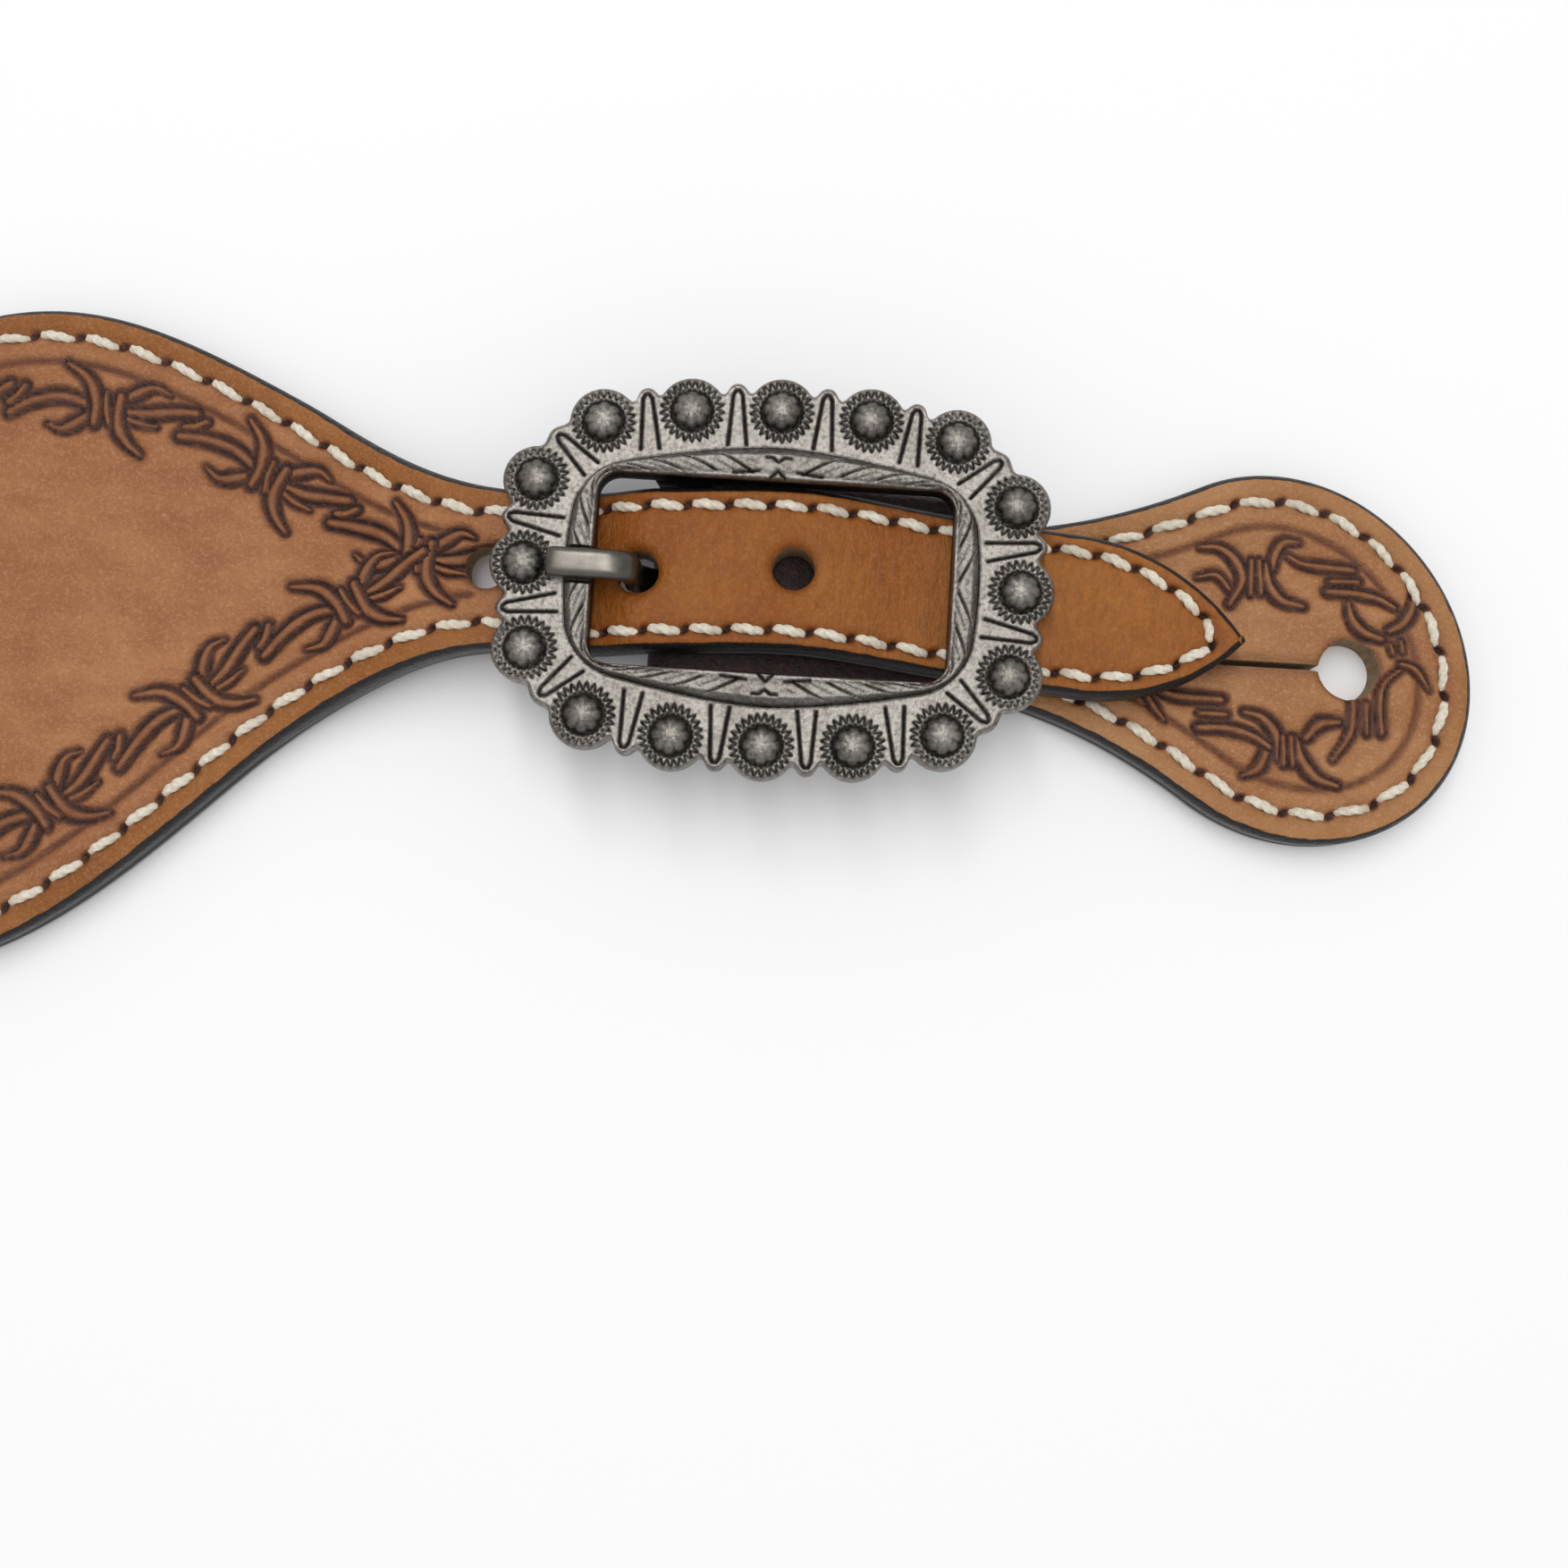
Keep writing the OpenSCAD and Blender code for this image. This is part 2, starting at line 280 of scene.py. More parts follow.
# ---------------------------------------------------------------- tooling, as relief, stain and painted shade
class Relief:
    """Heights, and stain with painted shade, over a set of points of the leather's surface."""

    def __init__(self, xy):
        self.xy = xy
        n = len(xy)
        self.z = np.zeros(n)
        self.stain_and_shade = np.zeros(n)
        self.margin = np.zeros(n)

    def near(self, line, reach):
        lo, hi = line.min(axis=0) - reach, line.max(axis=0) + reach
        inside = np.all((self.xy > lo) & (self.xy < hi), axis=1)
        return np.nonzero(inside)[0]

    def distance(self, index, line):
        """Distance to a polyline, and how far along it, from 0 to 1, the nearest place is."""
        p = self.xy[index]
        best = np.full(len(p), 1e9)
        where = np.zeros(len(p))
        n = len(line) - 1
        for i in range(n):
            a, d = line[i], line[i + 1] - line[i]
            t = np.clip(((p - a) @ d) / max(d @ d, 1e-12), 0, 1)
            r = np.linalg.norm(p - a - t[:, None] * d, axis=1)
            closer = r < best
            best[closer] = r[closer]
            where[closer] = (i + t[closer]) / n
        return best, where

    def halo(self, line, radius, taper):
        """The bevelled leather that slopes down to a stroke, darkened round the stroke: partly stain that bleeds into
        the bevel, partly painted shade.
        """
        k = self.near(line, radius + 1.6)
        d, t = self.distance(k, line)
        out = np.clip(d - radius * np.interp(t, (0, 0.5, 1), taper), 0, None)
        self.z[k] = np.minimum(self.z[k], -0.38 * np.exp(-(out / 0.5) ** 2))
        self.stain_and_shade[k] = np.maximum(self.stain_and_shade[k], 0.62 * np.exp(-(out / 0.3) ** 2))

    def stroke(self, line, radius, taper):
        """One wire: a worn ridge between two dark grooves, the ridge lighter partly for less stain and partly for a
        painted highlight. It hides what it crosses.
        """
        k = self.near(line, radius + 0.4)
        d, t = self.distance(k, line)
        rho = d / (radius * np.interp(t, (0, 0.5, 1), taper))
        on = rho < 1.0
        k, rho = k[on], rho[on]
        groove = np.exp(-((rho - 0.78) / 0.2) ** 2)
        ridge = np.exp(-(rho / 0.42) ** 2)
        self.z[k] = -0.2 - 0.42 * groove + 0.16 * ridge
        self.stain_and_shade[k] = np.clip(0.55 + 0.55 * groove - 0.36 * ridge, 0, 1)

    def channel(self, line, half_width, depth, stain_and_shade):
        k = self.near(line, half_width * 3)
        d, _ = self.distance(k, line)
        g = np.exp(-(d / half_width) ** 2)
        self.z[k] = np.minimum(self.z[k], -depth * g)
        self.stain_and_shade[k] = np.maximum(self.stain_and_shade[k], stain_and_shade * g)

    def pits(self, centres, slants):
        """Awl holes: short slanted dark cuts at the ends of each stitch."""
        for c, s in zip(centres, slants):
            k = np.nonzero(np.all(np.abs(self.xy - c) < 1.6, axis=1))[0]
            q = self.xy[k] - c
            along, across = q @ s, q @ np.array([-s[1], s[0]])
            g = np.exp(-(along / 0.62) ** 2 - (across / 0.34) ** 2)
            self.z[k] -= 0.6 * g
            self.stain_and_shade[k] = np.maximum(self.stain_and_shade[k], np.clip(1.5 * g, 0, 1))

    def rim_round(self, x, y, r, lift, width):
        """The lip of a punched hole: rounded in, with a low burnished ring round it."""
        d = np.hypot(self.xy[:, 0] - x, self.xy[:, 1] - y) - r
        k = np.nonzero(d < 4)[0]
        self.z[k] += lift * np.exp(-((d[k] - width) / (0.6 * width)) ** 2) - 0.5 * np.exp(-np.clip(d[k], 0, None) / 0.35)
        self.stain_and_shade[k] = np.maximum(self.stain_and_shade[k], 0.45 * np.exp(-np.clip(d[k], 0, None) / 0.3))


# One barb of the wire and the twist after it, as strokes: points, radius, and taper at the start,
# middle and end. They are in the order they are cut, and a later stroke lies over an earlier one.
# The wire runs along the first number.
BARB = [
    ([(-8.9, -2.3), (-6.8, -1.5), (-4.4, -0.5), (-2.0, 0.0)], 0.95, (0.8, 1.0, 0.8)),
    ([(1.6, -0.1), (4.4, -0.7), (7.4, -0.3), (10.3, 0.6)], 0.95, (0.8, 1.0, 0.8)),
    ([(-5.7, 0.6), (-3.8, 0.75), (-1.8, 0.5)], 0.62, (0.5, 1.0, 0.8)),
    ([(10.2, -0.5), (9.2, -1.0), (8.4, -1.9)], 0.7, (0.9, 1.0, 0.9)),
    ([(-5.9, -3.1), (-4.2, -3.3), (-2.4, -2.0), (-1.0, -0.3)], 0.95, (0.3, 1.0, 0.8)),
    ([(0.9, 0.2), (2.5, 1.6), (4.3, 2.7), (6.2, 2.3)], 0.95, (0.8, 1.0, 0.3)),
    ([(-4.9, 3.9), (-3.1, 3.1), (-1.7, 1.7), (-1.3, 0.0), (-1.2, -1.6)], 0.98, (0.45, 1.0, 0.8)),
    ([(1.0, 1.6), (1.2, -0.5), (2.3, -2.8), (4.6, -4.3)], 0.98, (0.8, 1.0, 0.45)),
    ([(-0.6, 1.5), (0.0, 0.0), (0.3, -1.6)], 0.6, (0.8, 1.0, 0.8)),
]


def wire_strokes(track, starts, mirror):
    """Every stroke of the wire along a track. Each start is a barb's centre."""
    out = []
    for s in starts:
        for points, radius, taper in BARB:
            line = smooth_line(points)
            line = np.stack([line[:, 0] + s, line[:, 1] * mirror], axis=1)
            if line[:, 0].min() < -1 or line[:, 0].max() > track.length + 1:
                continue
            out.append((track.place(line), radius, taper))
    return out


def carve_wire(relief, strokes):
    for line, radius, taper in strokes:
        relief.halo(line, radius, taper)
    for line, radius, taper in strokes:
        relief.stroke(line, radius, taper)


def stitch_places(loop, pitch):
    """Distances along a seam at which the thread goes through the leather."""
    s = np.arange(0, loop.length, 0.2)
    count = np.cumsum(0.2 / pitch(loop.at(s)[:, 0]))
    return np.interp(np.arange(0, int(count[-1]) + 1), count, s)


# ---------------------------------------------------------------- leather pieces
def round_over(radius, steps):
    """Inset and drop of a rounded edge, from the flat to the wall."""
    a = np.linspace(0, np.pi / 2, steps)
    return [(radius * (1 - math.sin(t)), -radius * (1 - math.cos(t))) for t in a]


class Panel:
    """A leather panel: columns across the strap, each one a closed ring of points."""
    black_from = 0.22

    def __init__(self, xs, half, mid, surface, thickness, rows, edge_top, edge_bottom):
        self.xs = self.plan_x = xs
        self.half = half
        top = np.stack([xs, mid(xs) + half(xs)], axis=1)
        low = np.stack([xs, mid(xs) - half(xs)], axis=1)
        self.n_top = self._normals(top, 1)
        self.n_low = self._normals(low, -1)
        self.top, self.low = top, low
        self.surface, self.thickness = surface, thickness
        self.rows, self.edge_top, self.edge_bottom = rows, edge_top, edge_bottom

    def _normals(self, p, sign):
        d = np.gradient(p, axis=0)
        first, last = np.linalg.norm(p[0] - p[1]), np.linalg.norm(p[-1] - p[-2])
        if self.half(self.plan_x[:1])[0] < 0.05:
            d[0] = (0, 1) if sign > 0 else (0, -1)
        if self.half(self.plan_x[-1:])[0] < 0.05:
            d[-1] = (0, -1) if sign > 0 else (0, 1)
        d /= np.maximum(np.linalg.norm(d, axis=1, keepdims=True), 1e-9)
        return np.stack([-d[:, 1], d[:, 0]], axis=1) * sign

    def build(self, name, relief_maker=None):
        """One grid: across the top, down one wall, back underneath, and up the other wall."""
        n = len(self.xs)
        x_mid, z_mid, nx, nz = self.surface
        thick = self.thickness
        rings, depth, drop, edge = [], [], [], []
        d_in = self.edge_top[0][0]
        t_in, l_in = self.top - self.n_top * d_in, self.low - self.n_low * d_in
        self._keep_sides(t_in, l_in)
        for v in self.rows:
            rings.append(t_in * (1 - v) + l_in * v)
            drop.append(np.zeros(n))
            edge.append(0.0)
        top_rows = len(self.rows)

        def wall(points, normals, reverse):
            profile = [(d, z, 0) for d, z in self.edge_top[1:]]
            profile += [(d, z, 1) for d, z in self.edge_bottom]
            if reverse:
                profile = profile[::-1]
            for d, z, low_side in profile:
                rings.append(points - normals * d)
                drop.append(-z * np.ones(n) if not low_side else thick + z)
                edge.append(1.0 if low_side else min(1.0, -z / self.black_from))

        wall(self.low, self.n_low, False)
        d_under = self.edge_bottom[-1][0]
        for v in (0.75, 0.5, 0.25):
            t_u = self.top - self.n_top * d_under
            l_u = self.low - self.n_low * d_under
            self._keep_sides(t_u, l_u)
            rings.append(t_u * (1 - v) + l_u * v)
            drop.append(thick.copy())
            edge.append(0.0)
        wall(self.top, self.n_top, True)

        k = len(rings)
        plan = np.stack(rings, axis=1)
        down = np.stack(drop, axis=1)
        rim = np.tile(np.array(edge), (n, 1))
        flat = plan.reshape(-1, 2)
        relief = Relief(flat)
        if relief_maker:
            relief_maker(relief)
        fade = np.clip(1 - down / 0.6, 0, 1).reshape(-1)
        lift = (relief.z * fade).reshape(n, k)
        shift = plan[:, :, 0] - self.plan_x[:, None]
        dx = x_mid[:, None] + shift * nz[:, None] + nx[:, None] * (lift - down)
        dz = z_mid[:, None] - shift * nx[:, None] + nz[:, None] * (lift - down)
        verts = np.stack([dx, plan[:, :, 1], dz], axis=-1).reshape(-1, 3)
        faces = [tuple(f) for f in grid_faces(n, k, wrap_cols=True)]
        if self.half(self.plan_x[:1])[0] > 0.05:
            faces.append(tuple(range(k))[::-1])
        if self.half(self.plan_x[-1:])[0] > 0.05:
            faces.append(tuple(range((n - 1) * k, n * k)))
        obj = new_mesh(name, verts, faces)
        add_attribute(obj, "stain_and_shade", relief.stain_and_shade * fade)
        add_attribute(obj, "margin", relief.margin * fade)
        add_attribute(obj, "rim", rim.reshape(-1))
        merge_close(obj)
        return obj

    def _keep_sides(self, t, l):
        """Where the panel is narrower than its rounded edges, both sides meet in the middle."""
        crossed = t[:, 1] < l[:, 1]
        mid = (t[crossed] + l[crossed]) / 2
        t[crossed], l[crossed] = mid, mid


def flat_surface(xs, z_under, height):
    """Places and normals of a surface that follows z_under at a height above it."""
    z = z_under(xs)
    slope = np.gradient(z, xs)
    length = np.sqrt(1 + slope ** 2)
    return xs, z + height, -slope / length, 1 / length


def round_columns(mid, r, way, count, to_deg=80):
    a = np.radians(np.linspace(0, to_deg, count))
    xs = mid + way * r * np.cos(a)
    return xs if way < 0 else xs[::-1]


EDGE_TOP = round_over(1.05, 7)
WALL_TOP = [(0.0, -0.45), (0.05, 0.0)]
EDGE_LOW = [(0.05, -1.75), (-0.02, -1.2), (0.0, -0.7), (0.25, -0.22), (0.7, 0.0)]

far_curve = round_columns(FAR_MID, LOBE_R, -1, 60)
wing_xs = np.concatenate([far_curve, np.arange(far_curve[-1] + 0.4, -90, 0.46), np.arange(-90, SPLIT_X, 0.26)])
billet_xs = np.concatenate([np.arange(SPLIT_X + 0.05, 31, 0.3), 31 + TIP_LEN * np.sin(np.linspace(0, np.pi / 2, 70))])
tab_flat_xs = np.concatenate([np.arange(18.0, LOBE_MID + 3, 0.27), round_columns(LOBE_MID, LOBE_R, 1, 75)])

strap_all_x = np.concatenate([round_columns(FAR_MID, LOBE_R, -1, 140), np.arange(FAR_MID - 3, 31, 0.5),
                              31 + TIP_LEN * np.sin(np.linspace(0, np.pi / 2, 60))])
tab_all_x = np.concatenate([np.arange(14, LOBE_MID + 3, 0.5), round_columns(LOBE_MID, LOBE_R, 1, 140)])


def seam_loop(xs, half, mid, inset, x_min=-1e9):
    """The stitch line: along the top side one way and back along the bottom side."""
    up, down = closed_inset(xs, half, mid, inset, lambda x: x >= x_min)
    return Track(np.vstack([up, down[::-1]]))


strap_seam = seam_loop(strap_all_x, strap_half, strap_bow, seam_inset)
tab_seam = seam_loop(tab_all_x, lobe_half, bow, STITCH_INSET, 15)


def wire_inset(x):
    """The wire runs a little closer to the edge as the body narrows."""
    return WIRE_INSET - 1.3 * ramp(x, -74, -56)


def wing_wires():
    """The two rows of wire on the wide body, which meet at both necks."""
    xs = np.arange(-136, -22, 0.5)
    rows = []
    for sign, first_x in ((1, -36.4), (-1, -43.4)):
        p = inset_line(xs, strap_half, strap_bow, sign, wire_inset)
        p = p[(p[:, 1] - strap_bow(p[:, 0])) * sign > -2.5][::-1]
        track = Track(p)
        first = np.interp(-first_x, -p[:, 0], track.s)
        rows.append((track, np.arange(first, track.length - 6, BARB_PITCH), 1))
    return rows


# The broken ring of wire on a lobe, as strokes like the barb's. The points are measured from the
# middle of the lobe, +X away from the strap: the barb above the hole, the twist after it, the barb
# at the end, the next twist, the barb below the hole and the twist that goes under the billet.
LOBE_WIRE = [
    ([(-9.8, 7.8), (-7.7, 8.1), (-6.0, 6.2)], 0.6, (0.5, 1.0, 0.7)),
    ([(-2.1, 9.2), (-1.7, 10.9), (-0.9, 12.0), (0.6, 12.1)], 0.8, (0.8, 1.0, 0.5)),
    ([(-9.5, 11.0), (-7.5, 11.0), (-5.8, 9.7), (-5.1, 7.7), (-6.3, 5.2)], 0.9, (0.5, 1.0, 0.6)),
    ([(-2.8, 9.5), (-2.2, 7.3), (-0.9, 5.9), (1.3, 5.4)], 0.9, (0.7, 1.0, 0.5)),
    ([(-4.2, 9.9), (-4.2, 6.4)], 0.5, (0.9, 1.0, 0.9)),
    ([(-3.4, 9.9), (-3.1, 6.5)], 0.5, (0.9, 1.0, 0.9)),
    ([(-0.5, 10.6), (1.4, 9.8), (6.3, 9.5)], 0.7, (0.6, 1.0, 0.9)),
    ([(4.0, 8.2), (6.9, 8.3)], 0.55, (0.9, 1.0, 0.9)),
    ([(3.8, 7.1), (6.2, 7.1), (8.9, 6.7), (10.8, 5.8)], 0.7, (0.9, 1.0, 0.6)),
    ([(5.9, 6.1), (6.4, 4.4), (7.6, 3.1), (9.5, 2.5)], 0.85, (0.5, 1.0, 0.7)),
    ([(12.7, 7.6), (12.5, 5.8), (11.6, 4.2), (10.3, 3.4)], 0.85, (0.4, 1.0, 0.7)),
    ([(10.4, 2.0), (10.7, 1.1)], 0.45, (0.9, 1.0, 0.9)),
    ([(11.5, 2.4), (11.7, 1.3)], 0.45, (0.9, 1.0, 0.9)),
    ([(11.6, 0.0), (13.1, -0.5), (14.6, -2.6)], 0.6, (0.8, 1.0, 0.3)),
    ([(11.5, -0.6), (10.0, -2.0), (9.5, -4.0), (9.8, -7.3)], 0.6, (0.6, 1.0, 0.9)),
    ([(8.1, -4.3), (8.3, -7.4)], 0.5, (0.9, 1.0, 0.9)),
    ([(6.8, -4.1), (6.6, -7.4), (4.9, -10.3)], 0.65, (0.9, 1.0, 0.6)),
    ([(2.1, -8.2), (3.5, -6.7), (5.5, -6.4)], 0.9, (0.7, 1.0, 0.5)),
    ([(-4.3, -12.5), (-2.7, -11.6), (-1.8, -9.5)], 0.85, (0.4, 1.0, 0.8)),
    ([(-4.4, -5.9), (-2.5, -6.4), (-1.0, -8.1), (-0.7, -10.4)], 0.9, (0.5, 1.0, 0.7)),
    ([(1.0, -8.5), (1.7, -10.5), (3.3, -12.3), (5.5, -13.0)], 0.95, (0.7, 1.0, 0.5)),
    ([(-0.3, -8.2), (-0.1, -11.1)], 0.5, (0.9, 1.0, 0.9)),
    ([(0.5, -8.2), (0.8, -11.1)], 0.5, (0.9, 1.0, 0.9)),
    ([(-9.0, -7.8), (-6.2, -7.7), (-3.5, -8.3), (-1.6, -9.4)], 0.75, (0.9, 1.0, 0.7)),
    ([(-8.9, -6.3), (-6.2, -6.3)], 0.55, (0.9, 1.0, 0.9)),
    ([(-14.4, -3.5), (-11.7, -4.6), (-6.8, -4.8)], 0.75, (0.7, 1.0, 0.9)),
    ([(-14.6, -4.5), (-13.6, -6.0), (-12.5, -7.3)], 0.6, (0.8, 1.0, 0.4)),
]


def lobe_wire(mid, way):
    """The broken ring of wire round a lobe's button hole, as strokes."""
    out = []
    for points, radius, taper in LOBE_WIRE:
        line = smooth_line(points)
        out.append((line * (way, 1) + (mid, bow_at(mid)), radius, taper))
    return out


def body_pitch(x):
    return np.full_like(x, BODY_PITCH)


def seam_marks(relief, seam):
    """The channel the stitches lie in, and their awl holes."""
    s = stitch_places(seam, seam_pitch if seam is strap_seam else body_pitch)
    relief.channel(seam.p[::3], 0.75, 0.2, 0.16)
    n = seam.normal(s)
    d = seam.at(np.minimum(s + 0.5, seam.length)) - seam.at(np.maximum(s - 0.5, 0))
    d /= np.maximum(np.linalg.norm(d, axis=1, keepdims=True), 1e-9)
    slant = d * 0.8 + n * 0.6
    relief.pits(seam.at(s), slant)


def margin_band(relief, half, mid):
    """How far outside the stitch line a point is, by the panel's half width there."""
    x, y = relief.xy[:, 0], relief.xy[:, 1]
    h = half(x)
    slope = np.gradient(half(np.linspace(FAR_END, TAB_END, 2600)), (TAB_END - FAR_END) / 2599)
    run = np.sqrt(1 + np.clip(np.interp(x, np.linspace(FAR_END, TAB_END, 2600), slope), -3, 3) ** 2)
    inset = (h - np.abs(y - mid(x))) / run
    relief.margin = np.clip((STITCH_INSET - inset) / 0.7 + 0.5, 0, 1)


def bow_at(x):
    return float(bow(np.array(float(x))))


def hole_y(x):
    """The spare hole is on the strap's middle line. The one in use sits on the tongue."""
    return float((strap_bow if x > 0 else bow)(np.array(float(x))))


def strap_relief(relief):
    up, down = closed_inset(strap_all_x, strap_half, strap_bow, BORDER_INSET, lambda x: x < -30)
    seam_marks(relief, strap_seam)
    relief.channel(np.vstack([down[::-3], up[::3]]), 0.42, 0.34, 0.5)
    rows = [stroke for row in wing_wires() for stroke in wire_strokes(*row)]
    carve_wire(relief, rows + lobe_wire(FAR_MID, -1))
    relief.rim_round(FAR_BUTTON_X, float(bow(np.array(FAR_BUTTON_X))), BUTTON_R, 0.08, 1.0)
    for i in (-1, 0, 1):
        x = HOLE_X + i * HOLE_PITCH
        relief.rim_round(x, hole_y(x), HOLE_R, 0.16, 1.3)
    margin_band(relief, strap_half, strap_bow)


def tab_relief(relief):
    up, down = closed_inset(tab_all_x, lobe_half, bow, BORDER_INSET, lambda x: x > 28)
    seam_marks(relief, tab_seam)
    relief.channel(np.vstack([up[::3], down[::-3]]), 0.42, 0.34, 0.45)
    middle = bow_at(TAB_BUTTON_X)
    relief.channel(np.array([(TAB_BUTTON_X - 14.5, middle), (TAB_BUTTON_X - 2.6, middle)]), 1.15, 0.4, 0.3)
    carve_wire(relief, lobe_wire(LOBE_MID, 1))
    relief.rim_round(TAB_BUTTON_X, float(bow(np.array(TAB_BUTTON_X))), BUTTON_R, 0.08, 1.0)
    margin_band(relief, lobe_half, bow)
    # The tab's leather under the buckle, x below 20, is painted fully dark: painted shade under the buckle and in the
    # window's gaps.
    painted_shade_under_buckle = relief.xy[:, 0] < 20
    relief.stain_and_shade[painted_shade_under_buckle] = 1.0


WING_ROWS = np.linspace(0, 1, 188)
BILLET_ROWS = np.linspace(0, 1, 72)
TAB_ROWS = np.linspace(0, 1, 168)
LINING_ROWS = np.linspace(0, 1, 5)


def outer_panel(name, xs, half, mid, z_under, rows, relief_maker):
    surface = flat_surface(xs, z_under, STRAP_T)
    panel = Panel(xs, half, mid, surface, np.full(len(xs), OUTER_T), rows, EDGE_TOP, [(0.0, -0.5), (0.04, 0.0)])
    return panel.build(name, relief_maker)


def lining_panel(name, xs, half, mid, z_under):
    surface = flat_surface(xs, z_under, LINING_T - 0.02)
    edge_low = [(-0.03, -0.9), (0.06, -0.4), (0.3, -0.1), (0.7, 0.0)]
    panel = Panel(xs, half, mid, surface, np.full(len(xs), LINING_T - 0.02), LINING_ROWS,
                  [(0.4, 0.0), (0.05, -0.02)], edge_low)
    panel.black_from = 0.01
    return panel.build(name)


def flat_zero(x):
    return np.zeros_like(x)


# The tab's outer leather, from the lobe's neck up over the bar, round it and back underneath
def fold_path():
    """Plan x, place x, place z, normal x, normal z and thickness along the folded leather."""
    run, out = [], []
    for x in np.linspace(18, BAR_X, 60)[1:]:
        z = STRAP_T + (BAR_Z + FOLD_R - STRAP_T) * float(ramp(-x, -14, 6))
        run.append((x, z, OUTER_T - (OUTER_T - FOLD_T) * float(ramp(-x, -14, 4))))
    p = np.array(run)
    slope = np.gradient(p[:, 1], p[:, 0])
    length = np.sqrt(1 + slope ** 2)
    for (x, z, t), m, n in zip(run, slope, length):
        out.append((x, x, z, -m / n, 1 / n, t))
    for a in np.linspace(0, np.pi, 40)[1:]:
        nx, nz = -math.sin(a), math.cos(a)
        out.append((BAR_X, BAR_X + nx * FOLD_R, BAR_Z + nz * FOLD_R, nx, nz, FOLD_T))
    for x in np.linspace(BAR_X, 6, 40)[1:]:
        z = (BAR_Z - FOLD_R) * (1 - float(ramp(x, BAR_X, -3)))
        out.append((x, x, z, 0.0, -1.0, FOLD_T))
    return np.array(out)


# The tab is widened under the window, more on the far side; with its top painted dark it is a dark sheet put where
# there is only shade.
NEAR_SHADE_SPREAD, FAR_SHADE_SPREAD = 1.1, 3.3


def tab_outer_piece():
    """The outer piece of the tab, its fold round the bar, and its wider part under the window, a dark sheet that
    stands in for the shade seen through the window's gaps.
    """
    flat = tab_flat_xs[::-1]
    x, z, nx, nz = flat_surface(flat, flat_zero, STRAP_T)
    start = np.stack([flat, x, z, nx, nz, np.full(len(flat), OUTER_T)], axis=1)
    path = np.vstack([start, fold_path()])
    panel = Panel.__new__(Panel)
    panel.xs = panel.plan_x = path[:, 0]

    panel.half = lobe_half
    plan = path[:, 0]
    under_window = ramp(plan, -14, -10.5) * (1 - ramp(plan, 18, 25))
    panel.top = np.stack([plan, bow(plan) - lobe_half(plan) - NEAR_SHADE_SPREAD * under_window], axis=1)
    panel.low = np.stack([plan, bow(plan) + lobe_half(plan) + FAR_SHADE_SPREAD * under_window], axis=1)
    panel.n_top = np.tile([0.0, -1.0], (len(plan), 1))
    panel.n_low = np.tile([0.0, 1.0], (len(plan), 1))
    m = len(flat)
    panel.n_top[:m] = panel._normals(panel.top[:m], 1)
    panel.n_low[:m] = panel._normals(panel.low[:m], -1)
    panel.n_top[0] = panel.n_low[0] = (1.0, 0.0)
    panel.surface = (path[:, 1], path[:, 2], path[:, 3], path[:, 4])
    panel.thickness = path[:, 5]
    panel.rows = TAB_ROWS
    panel.edge_top, panel.edge_bottom = EDGE_TOP, [(0.0, -0.5), (0.04, 0.0)]

    def crossed(t, l):
        bad = t[:, 1] > l[:, 1]
        mid = (t[bad] + l[bad]) / 2
        t[bad], l[bad] = mid, mid
    panel._keep_sides = crossed
    return panel


# ---------------------------------------------------------------- thread
def thread_stitch(a, b, z_a, z_b, wide, side):
    """One stitch of twisted thread from awl hole a to awl hole b, as rings of points."""
    rings, sides = 19, 14
    u = np.linspace(0, 1, rings)
    along = np.array([b[0] - a[0], b[1] - a[1], z_b - z_a])
    reach = np.linalg.norm(along)
    d = along / reach
    across = np.array([-d[1], d[0], 0.0])
    across /= np.linalg.norm(across)
    up = np.cross(d, across)
    up = up if up[2] * side > 0 else -up
    lift = -0.6 + 0.95 * np.clip(np.sin(np.pi * u), 0, 1) ** 0.5
    lean = 0.18 * np.cos(np.pi * u)
    verts = []
    for i in range(rings):
        centre = np.array([a[0], a[1], z_a]) + along * (0.09 + 0.82 * u[i]) + up * lift[i] + across * lean[i]
        r = wide / 2 * (0.5 + 0.5 * math.sin(math.pi * u[i]) ** 0.6)
        for j in range(sides):
            t = 2 * math.pi * j / sides
            ply = 1 + 0.15 * math.cos(3 * t - 2 * math.pi * u[i] * reach / 1.5)
            verts.append(centre + (across * math.cos(t) + up * 0.82 * math.sin(t)) * r * ply)
    return verts


def thread_piece(name, seam, z_at, side, keep):
    """The stitches of a seam on one face of the leather, over the stretch that keep allows."""
    s = stitch_places(seam, seam_pitch if seam is strap_seam else body_pitch)
    p = seam.at(s)
    verts, faces = [], []
    quads = grid_faces(19, 14, wrap_cols=True)
    for i in range(len(s) - 1):
        mid = (p[i] + p[i + 1]) / 2
        if not keep(mid):
            continue
        base = len(verts)
        z = z_at(np.array([p[i][0], p[i + 1][0]]))
        verts += thread_stitch(p[i], p[i + 1], z[0], z[1], 0.98 + 0.04 * rng.standard_normal(), side)
        faces += [tuple(f + base) for f in quads]
        faces += [tuple(base + k for k in range(14))[::-1], tuple(base + 18 * 14 + k for k in range(14))]
    return new_mesh(name, verts, faces)


